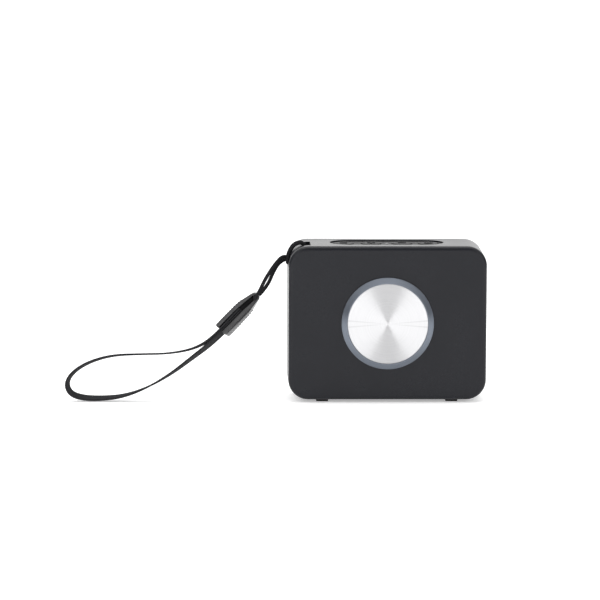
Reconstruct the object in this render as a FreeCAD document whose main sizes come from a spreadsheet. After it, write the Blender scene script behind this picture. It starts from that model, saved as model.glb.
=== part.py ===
import FreeCAD, Part
import math
import os
import re

import Sketcher
from FreeCAD import Placement, Rotation, Vector

# Pocket speaker with a wrist strap.  Millimetres.
# X to the right seen from the front, Y away from the front, Z up.
# The origin is the middle of the footprint, on the plane that the feet stand on.

DIMS = {
    "body_width": 85.0, "body_height": 66.3, "body_depth": 30.6, "wall": 2.2,
    "corner_radius": 8.6, "edge_round": 1.8, "foot_height": 1.2, "fit_gap": 0.1,
    # trim ring and driver, radii about the driver's axis, depths from the front face
    "ring_radius": 19.75, "ring_rise": 2.2, "ring_edge": 0.55, "ring_bore": 17.3, "ring_seat": 18.9,
    "bevel_land": 0.3,
    "disc_radius": 17.05, "disc_thickness": 0.8, "disc_setback": 0.3,
    "flange_radius": 22.2, "flange_thickness": 1.2, "gasket_thickness": 0.8,
    "basket_bore": 16.2, "cone_rim": 12.8,
    "roll_outer": 15.2, "roll_inner": 13.7, "rubber_sheet": 0.3, "former_bore": 7.75, "former_wall": 0.2,
    "coil_wall": 0.45, "pole_radius": 7.3, "gap_bore": 8.75, "plate_radius": 15.0,
    "plate_thickness": 2.5, "magnet_bore": 9.5, "magnet_height": 6.0, "plate_depth": 10.7,
    "basket_screw_pitch": 20.3, "screw_radius": 0.85, "screw_head": 1.7,
    "screw_cap": 1.1, "slot_depth": 0.6,
    # rear cover
    "cover_thickness": 3.0, "cover_lip": 1.6, "cover_gap": 0.15, "seal_width": 1.1,
    "block_size": 9.4, "block_length": 10.0, "screw_inset": 9.0, "head_sink": 1.6,
    # keypad
    "pad_length": 49.0, "pad_width": 17.0, "pad_sink": 0.6, "pad_plate": 1.4, "pad_flange": 0.8,
    "cap_radius": 4.3, "cap_rise": 0.3, "cap_gap": 0.25,
    "mark_size": 1.9, "mark_stroke": 0.4, "mark_rise": 0.35,
    "switch_side": 6.0, "switch_height": 3.4, "plunger_radius": 1.5,
    "key_board_drop": 6.9, "key_board_half": 6.5, "post_radius": 2.0, "post_gap": 3.8,
    # main board and battery, from the middle plane and from the ground
    "board_thickness": 1.0, "board_gap": 2.6, "board_left": 25.0, "board_right": 38.0,
    "board_low": 9.0, "board_high": 51.0,
    "cell_outer": 36.0, "cell_inner": 27.0, "cell_half": 11.0, "cell_low": 13.5, "cell_high": 50.5,
    # strap anchor: a curved bar across the corner, with a tunnel behind it
    "bar_thickness": 2.4, "tunnel_bore": 3.0, "slot_length": 13.0, "slot_setback": 11.0,
    "bar_half_angle": 17.0, "mouth_half_angle": 51.0,
    # charging port
    "door_length": 14.0, "door_width": 7.6, "door_thickness": 1.4, "door_gap": 0.2,
    "port_length": 9.8, "port_width": 4.8, "seal_depth": 1.4, "pin_radius": 0.4, "port_height": 30.0,
    "port_setback": 7.1, "pin_overrun": 1.2, "plug_inset": 0.3, "plug_wall": 0.7,
    # feet
    "foot_length": 6.0, "foot_width": 5.2, "foot_inset": 0.6, "foot_spread": 27.8, "foot_setback": 4.0,
    # strap
    "cord_diameter": 1.5, "web_width": 6.0, "web_thickness": 1.1, "sleeve_width": 6.4,
    "strap_depth": -9.5,
}

FRONT = "(ring_rise - body_depth)/2"
BACK = "(ring_rise + body_depth)/2"
MID_DEPTH = "ring_rise/2"
TOP = "(foot_height + body_height)"
MID_HEIGHT = "(foot_height + body_height/2)"
SIDE = "body_width/2"
INNER_FRONT = f"({FRONT} + wall)"
COVER_FACE = f"({BACK} - cover_thickness)"
PORT_DEPTH = f"({MID_DEPTH} + port_setback)"
PAD_TOP = f"({TOP} - pad_sink)"
AXIS_TURN = {
    "x": Rotation(Vector(0, 1, 0), 90),
    "y": Rotation(Vector(1, 0, 0), -90),
    "z": Rotation(),
}

doc = FreeCAD.newDocument("pocket_speaker")
sheet = doc.addObject("Spreadsheet::Sheet", "dims")
for row, (alias, number) in enumerate(DIMS.items(), start=1):
    sheet.set(f"A{row}", alias)
    sheet.set(f"B{row}", str(number))
    sheet.setAlias(f"B{row}", alias)
doc.recompute()

sub_parts = []


# ---------------------------------------------------------------- helpers

def expr(text):
    """The text with every dimension's name pointed at the sheet."""
    return re.sub(r"[a-z_]+", lambda m: f"dims.{m.group()}" if m.group() in DIMS else m.group(), str(text))


def value(text):
    """The number that an expression gives now."""
    result = sheet.evalExpression(expr(text))
    return float(getattr(result, "Value", result))


def bind(item, **links):
    for path, text in links.items():
        item.setExpression(path.replace("__", "."), expr(text))
    return item


def place(item, x=0, y=0, z=0):
    return bind(item, Placement__Base__x=x, Placement__Base__y=y, Placement__Base__z=z)


def sub(item, label=None):
    """Marks a finished sub-part, which is written to its own file."""
    if label:
        item.Label = label
    sub_parts.append(item)
    return item


def box(name, x, y, z):
    """A box from (low, high) pairs of expressions."""
    item = doc.addObject("Part::Box", name)
    for side, (low, high) in (("Length", x), ("Width", y), ("Height", z)):
        bind(item, **{side: f"({high}) - ({low})"})
    return place(item, x[0], y[0], z[0])


def cylinder(name, axis, radius, span, x=0, y=0, z=0, turn=None):
    """A cylinder along an axis; span is its (low, high) along that axis."""
    item = doc.addObject("Part::Cylinder", name)
    item.Placement = Placement(Vector(), turn or AXIS_TURN[axis])
    bind(item, Radius=radius, Height=f"({span[1]}) - ({span[0]})")
    start = {"x": x, "y": y, "z": z}
    start[axis] = span[0]
    return place(item, start["x"], start["y"], start["z"])


def fuse(name, shapes):
    item = doc.addObject("Part::MultiFuse", name)
    item.Shapes = shapes
    item.Refine = True
    return item


def cut(name, base, tools):
    tool = tools[0] if len(tools) == 1 else fuse(name + "_tools", tools)
    item = doc.addObject("Part::Cut", name)
    item.Base = base
    item.Tool = tool
    return item


def group(name, shapes):
    """Separate solids that share one node."""
    item = doc.addObject("Part::Compound", name)
    item.Links = shapes
    return item


def sketch_on(body, role, name, offset=None):
    sketch = body.newObject("Sketcher::SketchObject", name)
    plane = next(f for f in body.Origin.OriginFeatures if f.Role == role)
    sketch.AttachmentSupport = [(plane, "")]
    sketch.MapMode = "FlatFace"
    if offset is not None:
        bind(sketch, AttachmentOffset__Base__z=offset)
    return sketch


def pin_point(sketch, geometry, end, x, y):
    """Ties a point to the sketch's origin by two bound distances."""
    for kind, text in (("DistanceX", x), ("DistanceY", y)):
        number = value(text)
        if abs(number) < 1e-9:
            axis = -2 if kind == "DistanceX" else -1
            sketch.addConstraint(Sketcher.Constraint("PointOnObject", geometry, end, axis))
            continue
        ends = (-1, 1, geometry, end) if number > 0 else (geometry, end, -1, 1)
        index = sketch.addConstraint(Sketcher.Constraint(kind, *ends, abs(number)))
        label = f"{kind}_{geometry}_{end}"
        sketch.renameConstraint(index, label)
        sign = "" if number > 0 else "-"
        sketch.setExpression(f"Constraints.{label}", expr(f"{sign}({text})"))


def polygon(sketch, corners):
    """A closed outline of straight lines through bound corners."""
    first = sketch.GeometryCount
    points = [Vector(value(x), value(y), 0) for x, y in corners]
    count = len(points)
    for i in range(count):
        sketch.addGeometry(Part.LineSegment(points[i], points[(i + 1) % count]))
    for i in range(count):
        following = first + (i + 1) % count
        sketch.addConstraint(Sketcher.Constraint("Coincident", first + i, 2, following, 1))
    for i, (x, y) in enumerate(corners):
        pin_point(sketch, first + i, 1, x, y)


def rectangle(sketch, half_width, low, high):
    polygon(sketch, [(f"-({half_width})", low), (half_width, low), (half_width, high),
                     (f"-({half_width})", high)])


def pad(body, sketch, length, name):
    feature = body.newObject("PartDesign::Pad", name)
    feature.Profile = sketch
    bind(feature, Length=length)
    return feature


def fillet(body, base, radius, wanted, name):
    """Rounds the edges of the base feature for which wanted(edge) holds."""
    doc.recompute()
    names = [f"Edge{i}" for i, edge in enumerate(base.Shape.Edges, start=1) if wanted(edge)]
    if not names:
        raise RuntimeError(f"{name} finds no edges")
    feature = body.newObject("PartDesign::Fillet", name)
    feature.Base = (base, names)
    bind(feature, Radius=radius)
    doc.recompute()
    return feature


def runs_along(edge, axis):
    ends = [v.Point for v in edge.Vertexes]
    if len(ends) < 2:
        return False
    step = (ends[1] - ends[0]).normalize()
    return abs(abs(step.dot(axis)) - 1) < 1e-6 and edge.Curve.TypeId == "Part::GeomLine"


def lies_at_depth(edge, depth):
    return all(abs(v.Point.y - depth) < 1e-4 for v in edge.Vertexes)


ALONG_Y = Vector(0, 1, 0)


def turned(name, corners):
    """A piece turned about the driver's axis, from (radius, depth) corners."""
    body = doc.addObject("PartDesign::Body", name)
    sketch = sketch_on(body, "XY_Plane", name + "_profile")
    polygon(sketch, corners)
    turn = body.newObject("PartDesign::Revolution", name + "_turn")
    turn.Profile = sketch
    turn.ReferenceAxis = (sketch, ["V_Axis"])
    turn.Angle = 360
    return place(body, 0, 0, MID_HEIGHT)


def rounded_plate(name, half_width, low, high, near, thickness, radius):
    """A plate in the XZ plane, from depth near towards the back, with rounded corners."""
    body = doc.addObject("PartDesign::Body", name)
    outline = sketch_on(body, "XZ_Plane", name + "_outline", f"-({near}) - ({thickness})")
    rectangle(outline, half_width, low, high)
    slab = pad(body, outline, thickness, name + "_slab")
    corners = fillet(body, slab, radius, lambda e: runs_along(e, ALONG_Y), name + "_corners")
    return body, corners


# ---------------------------------------------------------------- housing

def arc_centre():
    return f"-({SIDE} - corner_radius)", f"({TOP} - corner_radius)"


def sector(name, outer, inner, low_angle, high_angle):
    """A ring sector about the top left corner's arc centre, as long as the strap slot."""
    x, z = arc_centre()
    start = f"{FRONT} + slot_setback - slot_length/2"
    pieces = []
    for part_name, radius in ((name + "_outer", outer), (name + "_inner", inner)):
        item = cylinder(part_name, "y", radius, (start, f"{start} + slot_length"), x=x, z=z)
        item.Placement = Placement(Vector(), AXIS_TURN["y"].multiply(Rotation(Vector(0, 0, 1),
                                                                              -high_angle)))
        place(item, x, start, z)
        item.Angle = high_angle - low_angle
        pieces.append(item)
    pieces[1].Angle = 360
    return cut(name, pieces[0], [pieces[1]])


def anchor_cutters():
    """The tunnel behind the anchor bar, the slot above it and the hole beside it."""
    middle = 135.0
    bar, mouth = value("bar_half_angle"), value("mouth_half_angle")
    behind_bar = "corner_radius - bar_thickness"
    floor = f"{behind_bar} - tunnel_bore"
    return [
        sector("anchor_tunnel", behind_bar, floor, middle - mouth, middle + mouth),
        sector("anchor_slot", "corner_radius + 2", floor, middle - mouth, middle - bar),
        sector("anchor_hole", "corner_radius + 2", floor, middle + bar, middle + mouth),
    ]


def anchor_bar_ends():
    x, z = arc_centre()
    mid_radius = "(corner_radius - bar_thickness/2)"
    start = f"{FRONT} + slot_setback - slot_length/2 - 0.5"
    ends = []
    for name, sign in (("upper_bar_end", "-"), ("lower_bar_end", "+")):
        angle = f"(135 {sign} bar_half_angle)*1deg"
        ends.append(cylinder(name, "y", "bar_thickness/2", (start, f"{start} + slot_length + 1"),
                             x=f"{x} + {mid_radius}*cos({angle})", z=f"{z} + {mid_radius}*sin({angle})"))
    return ends


def screw_places():
    """Where the rear cover's screws go, as (name, x, z)."""
    high, low = f"{TOP} - screw_inset", "foot_height + screw_inset"
    across = f"({SIDE} - screw_inset)"
    return [
        ("top_left", f"-{across}", high), ("top_right", across, high),
        ("bottom_left", f"-{across}", low), ("bottom_right", across, low),
    ]


def corner_blocks():
    """Solid blocks in the corners, for the screws and, at the top left, the strap anchor."""
    blocks = []
    for name, x, z in screw_places():
        left, low = name.endswith("left"), name.startswith("bottom")
        edge = f"{SIDE} - wall/2"
        spread = f"{SIDE} - wall - block_size"
        across = (f"-({edge})", f"-({spread})") if left else (spread, edge)
        upright = (("foot_height + wall/2", "foot_height + wall + block_size") if low
                   else (f"{TOP} - wall - block_size", f"{TOP} - wall/2"))
        start = INNER_FRONT + " - 0.5" if name == "top_left" else f"{COVER_FACE} - block_length"
        blocks.append(box(name + "_block", across, (start, f"{COVER_FACE} - seal_width/2"), upright))
    limit, _ = rounded_plate("block_limit", f"{SIDE} - wall/2", "foot_height + wall/2", f"{TOP} - wall/2",
                             f"{FRONT} + wall/2", "body_depth - wall", "corner_radius - wall/2")
    item = doc.addObject("Part::MultiCommon", "corner_blocks")
    item.Shapes = [fuse("corner_blocks_square", blocks), limit]
    return [item]


def front_housing():
    body = doc.addObject("PartDesign::Body", "housing_shell")
    outline = sketch_on(body, "XZ_Plane", "housing_outline", f"-({BACK})")
    rectangle(outline, SIDE, "foot_height", TOP)
    block = pad(body, outline, "body_depth", "housing_block")
    corners = fillet(body, block, "corner_radius", lambda e: runs_along(e, ALONG_Y), "housing_corners")
    faces = (value(FRONT), value(BACK))
    fillet(body, corners, "edge_round", lambda e: any(lies_at_depth(e, y) for y in faces), "housing_edges")
    hollow, _ = rounded_plate("housing_hollow", f"{SIDE} - wall", "foot_height + wall", f"{TOP} - wall",
                              INNER_FRONT, "body_depth - wall + 1", "corner_radius - wall")
    step, _ = rounded_plate("cover_step", f"{SIDE} - cover_lip", "foot_height + cover_lip",
                            f"{TOP} - cover_lip",
                            COVER_FACE, "cover_thickness + 1", "corner_radius - cover_lip")
    shell = cut("housing_hollowed", body, [hollow, step])

    posts = [cylinder(f"key_post_{side}", "z", "post_radius",
                      (f"{TOP} - wall - key_board_drop", f"{TOP} - wall/2"),
                      x=f"{sign}(pad_length/2 + post_gap)", y=MID_DEPTH)
             for side, sign in (("left", "-"), ("right", ""))]
    port_pad = box("port_pad", (f"{SIDE} - wall - 1.6", f"{SIDE} - wall/2"),
                   (f"{PORT_DEPTH} - door_width/2 - 0.4", f"{PORT_DEPTH} + door_width/2 + 0.4"),
                   ("port_height - door_length/2 - 0.6", "port_height + door_length/2 + 0.6"))
    filled = fuse("housing_filled", [shell] + corner_blocks() + posts + [port_pad])

    holes = [cylinder("driver_hole", "y", "ring_seat", (f"{FRONT} - 1", f"{INNER_FRONT} + 1"),
                      z=MID_HEIGHT)]
    holes += pill("key_opening", "pad_length/2", "pad_width/2", (f"{TOP} - wall - 1", f"{TOP} + 1"))
    for name, x, z in screw_places():
        holes.append(cylinder(name + "_bore", "y", "screw_radius",
                              (f"{COVER_FACE} - 6", f"{COVER_FACE} + 1"), x=x, z=z))
    for name, x, z in basket_screw_places():
        holes.append(cylinder(name + "_basket_bore", "y", "screw_radius",
                              (f"{INNER_FRONT} - 1.5", f"{INNER_FRONT} + 1"), x=x, z=z))
    for side, sign in (("left", "-"), ("right", "")):
        holes.append(cylinder(f"key_post_bore_{side}", "z", "screw_radius",
                              (f"{TOP} - wall - key_board_drop - 0.6", f"{TOP} - wall - 2.5"),
                              x=f"{sign}(pad_length/2 + post_gap)", y=MID_DEPTH))
    for name, x, y in foot_places():
        holes.append(box(name + "_pocket", (f"{x} - foot_width/2", f"{x} + foot_width/2"),
                         (y, f"{y} + foot_length"), ("0", "foot_height + foot_inset")))
    holes += port_cutters()
    holes += anchor_cutters()
    opened = cut("housing_opened", filled, holes)
    return sub(fuse("front_housing", [opened] + anchor_bar_ends()))


def pill(name, half_length, half_width, z, y=MID_DEPTH):
    """A rounded slot shape along X, as a box and two end cylinders."""
    straight = f"({half_length}) - ({half_width})"
    return [
        box(name + "_middle", (f"-({straight})", straight),
            (f"{y} - ({half_width})", f"{y} + ({half_width})"), z),
        cylinder(name + "_left", "z", half_width, z, x=f"-({straight})", y=y),
        cylinder(name + "_right", "z", half_width, z, x=straight, y=y),
    ]


def rear_cover():
    gap = "(cover_lip + cover_gap)"
    body, corners = rounded_plate("rear_cover_plate", f"{SIDE} - {gap}", f"foot_height + {gap}",
                                  f"{TOP} - {gap}",
                                  COVER_FACE, "cover_thickness", f"corner_radius - {gap}")
    back = value(BACK)
    fillet(body, corners, "0.5", lambda e: lies_at_depth(e, back), "rear_cover_edge")
    posts = [cylinder(f"board_post_{i}", "y", "post_radius", (BOARD_BACK, f"{COVER_FACE} + 0.5"),
                      x=x, z=z)
             for i, (x, z) in enumerate(board_screw_places(), start=1)]
    holes = []
    for name, x, z in screw_places():
        holes.append(cylinder(name + "_clearance", "y", "screw_radius + 0.25",
                              (f"{COVER_FACE} - 1", f"{BACK} + 1"), x=x, z=z))
        holes.append(cylinder(name + "_sink", "y", "screw_head + 0.4",
                              (f"{BACK} - head_sink", f"{BACK} + 1"), x=x, z=z))
    for i, (x, z) in enumerate(board_screw_places(), start=1):
        holes.append(cylinder(f"board_post_bore_{i}", "y", "screw_radius",
                              (f"{BOARD_BACK} - 1", f"{BOARD_BACK} + 3.4"), x=x, z=z))
    return sub(cut("rear_cover", fuse("rear_cover_filled", [body] + posts), holes))


def cover_seal():
    """A rubber frame on the step of the housing, pressed by the cover."""
    near, thickness = f"{COVER_FACE} - seal_width/2", "seal_width/2"
    inset = "wall + 0.05"
    outer, _ = rounded_plate("seal_outer", f"{SIDE} - ({inset})", f"foot_height + {inset}",
                             f"{TOP} - ({inset})", near, thickness, "corner_radius - wall")
    inset = "wall + seal_width + 0.05"
    inner, _ = rounded_plate("seal_inner", f"{SIDE} - ({inset})", f"foot_height + {inset}",
                             f"{TOP} - ({inset})",
                             f"{near} - 1", f"{thickness} + 2", "corner_radius - wall - seal_width")
    return sub(cut("cover_seal", outer, [inner]))


def screw(name, x, z, head_at, length, axis="y", y=0, sign=1):
    """A pan head with a cross slot and its shank; the head's flat side is at head_at."""
    if sign > 0:
        head_span = (head_at, f"{head_at} + screw_cap")
        shank_span = (f"{head_at} - {length}", f"{head_at} + 0.2")
        slot_span = (f"{head_at} + screw_cap - slot_depth", f"{head_at} + screw_cap + 1")
    else:
        head_span = (f"{head_at} - screw_cap", head_at)
        shank_span = (f"{head_at} - 0.2", f"{head_at} + {length}")
        slot_span = (f"{head_at} - screw_cap - 1", f"{head_at} - screw_cap + slot_depth")
    where = {"x": x, "y": y, "z": z}
    cap = cylinder(name + "_head", axis, "screw_head", head_span, **where)
    shank = cylinder(name + "_shank", axis, "screw_radius", shank_span, **where)
    wide, thin = "screw_head*0.6", "screw_radius*0.26"
    others = [a for a in "xyz" if a != axis]
    slots = []
    for i, (long_side, short_side) in enumerate((others, others[::-1])):
        spans = {axis: slot_span,
                 long_side: (f"{where[long_side]} - {wide}", f"{where[long_side]} + {wide}"),
                 short_side: (f"{where[short_side]} - {thin}", f"{where[short_side]} + {thin}")}
        slots.append(box(f"{name}_slot_{i}", spans["x"], spans["y"], spans["z"]))
    return cut(name, fuse(name + "_blank", [cap, shank]), slots)


def cover_screws():
    return sub(group("cover_screws", [screw(f"cover_screw_{name}", x, z, f"{BACK} - head_sink", "7")
                                      for name, x, z in screw_places()]))


def foot_places():
    near, far = f"({FRONT} + foot_setback)", f"({BACK} - foot_setback - foot_length)"
    return [("foot_front_left", "-foot_spread", near), ("foot_front_right", "foot_spread", near),
            ("foot_back_left", "-foot_spread", far), ("foot_back_right", "foot_spread", far)]


def feet():
    for name, x, y in foot_places():
        body = doc.addObject("PartDesign::Body", name)
        outline = sketch_on(body, "XY_Plane", name + "_outline")
        polygon(outline, [("-foot_width/2", "0"), ("foot_width/2", "0"),
                          ("foot_width/2", "foot_length"), ("-foot_width/2", "foot_length")])
        block = pad(body, outline, "foot_height + foot_inset", name + "_block")
        fillet(body, block, "0.4", lambda e: all(abs(v.Point.z) < 1e-6 for v in e.Vertexes),
               name + "_round")
        place(body, x, y, 0)
        sub(body)


# ---------------------------------------------------------------- driver

FLANGE_FRONT = f"({INNER_FRONT} + gasket_thickness)"
FLANGE_BACK = f"({FLANGE_FRONT} + flange_thickness)"
PLATE_FRONT = f"({INNER_FRONT} + plate_depth - 2.2)"
PLATE_BACK = f"({PLATE_FRONT} + plate_thickness)"
MAGNET_BACK = f"({PLATE_BACK} + magnet_height)"
DISC_FRONT = f"({FRONT} - ring_rise + disc_setback)"
DISC_BACK = f"({DISC_FRONT} + disc_thickness)"
FORMER = "(former_bore + former_wall)"


def basket_screw_places():
    """Four screws on the basket's flange, at the diagonals."""
    places = []
    for name, degrees in (("upper_right", 45), ("upper_left", 135), ("lower_left", 225),
                          ("lower_right", 315)):
        turn = math.radians(degrees)
        places.append((name, f"basket_screw_pitch*{math.cos(turn):.6f}",
                       f"{MID_HEIGHT} + basket_screw_pitch*{math.sin(turn):.6f}"))
    return places


def driver():
    sub(turned("bevel_ring", [
        ("ring_radius", FRONT), ("ring_radius", f"{FRONT} - ring_edge"),
        ("ring_bore + bevel_land", f"{FRONT} - ring_rise"), ("ring_bore", f"{FRONT} - ring_rise"),
        ("ring_bore", INNER_FRONT), ("ring_seat", INNER_FRONT), ("ring_seat", FRONT)]))
    gasket = turned("driver_gasket_ring", [
        ("ring_bore", INNER_FRONT), ("flange_radius", INNER_FRONT),
        ("flange_radius", FLANGE_FRONT), ("ring_bore", FLANGE_FRONT)])
    bores = [cylinder(f"gasket_bore_{name}", "y", "screw_radius + 0.1",
                      (f"{INNER_FRONT} - 1", f"{FLANGE_FRONT} + 1"), x=x, z=z)
             for name, x, z in basket_screw_places()]
    sub(cut("driver_gasket", gasket, bores))

    wall_out, wall_in = "(basket_bore + 0.9)", "basket_bore"
    basket = turned("basket_shell", [
        ("roll_outer - 0.2", FLANGE_FRONT), ("flange_radius", FLANGE_FRONT), ("flange_radius", FLANGE_BACK),
        (wall_out, FLANGE_BACK), (wall_out, f"{FLANGE_BACK} + 4.2"),
        ("plate_radius + 0.1", f"{PLATE_FRONT} - 0.9"),
        ("plate_radius + 0.1", f"{PLATE_FRONT}"), ("gap_bore + 0.4", PLATE_FRONT),
        ("gap_bore + 0.4", f"{PLATE_FRONT} - 0.8"),
        ("12.6", f"{PLATE_FRONT} - 0.8"), ("12.6", f"{FLANGE_BACK} + 3.6"),
        (wall_in, f"{FLANGE_BACK} + 3.6"),
        (wall_in, FLANGE_BACK), ("roll_outer - 0.2", FLANGE_BACK)])
    windows = [cylinder(f"basket_bore_{name}", "y", "screw_radius + 0.1",
                        (f"{FLANGE_FRONT} - 1", f"{FLANGE_BACK} + 1"), x=x, z=z)
               for name, x, z in basket_screw_places()]
    for i, axis in enumerate(("x", "z")):
        reach = "30"
        spans = {"x": (f"-{reach}", reach), "z": (f"{MID_HEIGHT} - {reach}", f"{MID_HEIGHT} + {reach}")}
        other = "z" if axis == "x" else "x"
        spans[other] = ("-4.5", "4.5") if other == "x" else (f"{MID_HEIGHT} - 4.5", f"{MID_HEIGHT} + 4.5")
        slab = box(f"basket_window_{i}", spans["x"], (f"{FLANGE_BACK} + 0.6", f"{FLANGE_BACK} + 2.9"),
                   spans["z"])
        windows.append(slab)
    sub(cut("driver_basket", basket, windows))
    sub(group("basket_screws", [screw(f"basket_screw_{name}", x, z, FLANGE_BACK, "3.4")
                                for name, x, z in basket_screw_places()]))

    sub(turned("surround", surround_profile()))
    sub(turned("spider", spider_profile()))
    sub(turned("top_plate", [
        ("gap_bore", PLATE_FRONT), ("plate_radius", PLATE_FRONT), ("plate_radius", PLATE_BACK),
        ("gap_bore", PLATE_BACK)]))
    sub(turned("ring_magnet", [
        ("magnet_bore", PLATE_BACK), ("plate_radius - 0.5", PLATE_BACK),
        ("plate_radius - 0.5", MAGNET_BACK), ("magnet_bore", MAGNET_BACK)]))
    sub(turned("yoke", [
        ("0", PLATE_FRONT), ("pole_radius", PLATE_FRONT), ("pole_radius", MAGNET_BACK),
        ("plate_radius", MAGNET_BACK),
        ("plate_radius", f"{MAGNET_BACK} + 2"), ("plate_radius - 0.6", f"{MAGNET_BACK} + 2.5"),
        ("0", f"{MAGNET_BACK} + 2.5")]))
    terminals = box("terminal_plate", ("-4", "4"), (FLANGE_BACK, f"{FLANGE_BACK} + 0.8"),
                    (f"{MID_HEIGHT} - flange_radius + 0.4", f"{MID_HEIGHT} - flange_radius + 3.6"))
    tabs = [box(f"terminal_tab_{side}", (f"{x} - 0.8", f"{x} + 0.8"),
                (f"{FLANGE_BACK} + 0.7", f"{FLANGE_BACK} + 1.1"),
                (f"{MID_HEIGHT} - flange_radius + 1", f"{MID_HEIGHT} - flange_radius + 5.4"))
            for side, x in (("left", "-2.4"), ("right", "2.4"))]
    sub(fuse("terminal_strip", [terminals] + tabs))

    sub(turned("diaphragm_disc", [
        ("0", DISC_FRONT), ("disc_radius - 0.25", DISC_FRONT), ("disc_radius", f"{DISC_FRONT} + 0.25"),
        ("disc_radius", DISC_BACK), ("0", DISC_BACK)]))
    rim, neck = f"{FLANGE_FRONT} - 0.45", f"{FLANGE_FRONT} + 1.6"
    sub(turned("cone", [
        (FORMER, f"{neck} - 0.5"), ("cone_rim - 0.2", f"{rim} - 0.35"), ("roll_inner", f"{rim} - 0.35"),
        ("roll_inner", rim), ("cone_rim - 0.2", rim), (FORMER, neck)]))
    sub(turned("voice_coil", [
        ("former_bore", DISC_BACK), (FORMER, DISC_BACK), (FORMER, f"{PLATE_FRONT} - 0.8"),
        (f"{FORMER} + coil_wall", f"{PLATE_FRONT} - 0.8"), (f"{FORMER} + coil_wall", f"{PLATE_BACK} + 0.6"),
        ("former_bore", f"{PLATE_BACK} + 0.6")]))


def surround_profile():
    """A half roll of rubber sheet between the cone's rim and the basket's flange."""
    flange, rim = FLANGE_FRONT, f"({FLANGE_FRONT} - 0.8)"
    crest = "((roll_outer + roll_inner)/2)"
    front = [("ring_bore - 0.1", flange), ("ring_bore - 0.1", f"{flange} - rubber_sheet"),
             ("roll_outer + 0.1", f"{flange} - rubber_sheet"), ("roll_outer - 0.1", f"{flange} - 1.2"),
             (f"{crest} + 0.05", f"{flange} - 1.75"), ("roll_inner + 0.2", f"{flange} - 1.35"),
             ("roll_inner", f"{rim} - rubber_sheet"), ("cone_rim", f"{rim} - rubber_sheet")]
    back = [("cone_rim", rim), ("roll_inner + 0.1", rim), ("roll_inner + 0.4", f"{rim} - 0.3"),
            (f"{crest} + 0.05", f"{flange} - 1.4"), ("roll_outer - 0.4", f"{flange} - 1.1"),
            ("roll_outer - 0.2", flange)]
    return front + back


def spider_profile():
    """A corrugated cloth ring, its rim on the basket's step, its bore on the coil former."""
    level = f"({FLANGE_BACK} + 3.6)"
    waves = [(FORMER, -0.3), ("9.2", 0.3), ("10.3", -0.3), ("11.4", 0.3), ("12.7", 0.0), ("15.8", 0.0)]
    front = [(r, f"{level} - 0.6 + {w}") if 0 < i < 4 else (r, f"{level} - 0.3") for i,
             (r, w) in enumerate(waves)]
    back = [(r, f"{level} - 0.3 + {w}") if 0 < i < 4 else (r, level) for i, (r, w) in enumerate(waves)]
    return front + back[::-1]


# ---------------------------------------------------------------- keypad

KEYS = (("play", "-18.6"), ("plus", "-6.6"), ("minus", "6.6"), ("power", "18.0"))
BOARD_TOP = f"({TOP} - wall - key_board_drop)"
SWITCH_TOP = f"({BOARD_TOP} + switch_height)"


def mark_play(name, x, z):
    wedge = doc.addObject("Part::Prism", name)
    wedge.Polygon = 3
    wedge.Placement.Rotation = Rotation(Vector(0, 0, 1), 90)
    bind(wedge, Circumradius="mark_size", Height=f"({z[1]}) - ({z[0]})")
    return [place(wedge, x, MID_DEPTH, z[0])]


def bar_mark(name, x, z, half_x, half_y):
    return [box(name, (f"{x} - {half_x}", f"{x} + {half_x}"),
                (f"{MID_DEPTH} - {half_y}", f"{MID_DEPTH} + {half_y}"), z)]


def mark_plus(name, x, z):
    across = bar_mark(name + "_across", x, z, "(mark_size - 0.2)", "mark_stroke")
    along = bar_mark(name + "_along", x, z, "mark_stroke", "(mark_size - 0.2)")
    return across + along


def mark_minus(name, x, z):
    return bar_mark(name, x, z, "(mark_size - 0.2)", "mark_stroke")


def mark_power(name, x, z):
    rim = cylinder(name + "_rim", "z", "mark_size", z, x=x, y=MID_DEPTH)
    bore = cylinder(name + "_bore", "z", "mark_size - 0.7", z, x=x, y=MID_DEPTH)
    notch = box(name + "_notch", (f"{x} - 2*mark_stroke", f"{x} + 2*mark_stroke"),
                (MID_DEPTH, f"{MID_DEPTH} + 3"), z)
    ring = cut(name, rim, [bore, notch])
    bar = box(name + "_bar", (f"{x} - 0.32", f"{x} + 0.32"), (MID_DEPTH, f"{MID_DEPTH} + 2.2"), z)
    return [ring, bar]


MARKS = {"play": mark_play, "plus": mark_plus, "minus": mark_minus, "power": mark_power}


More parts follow.
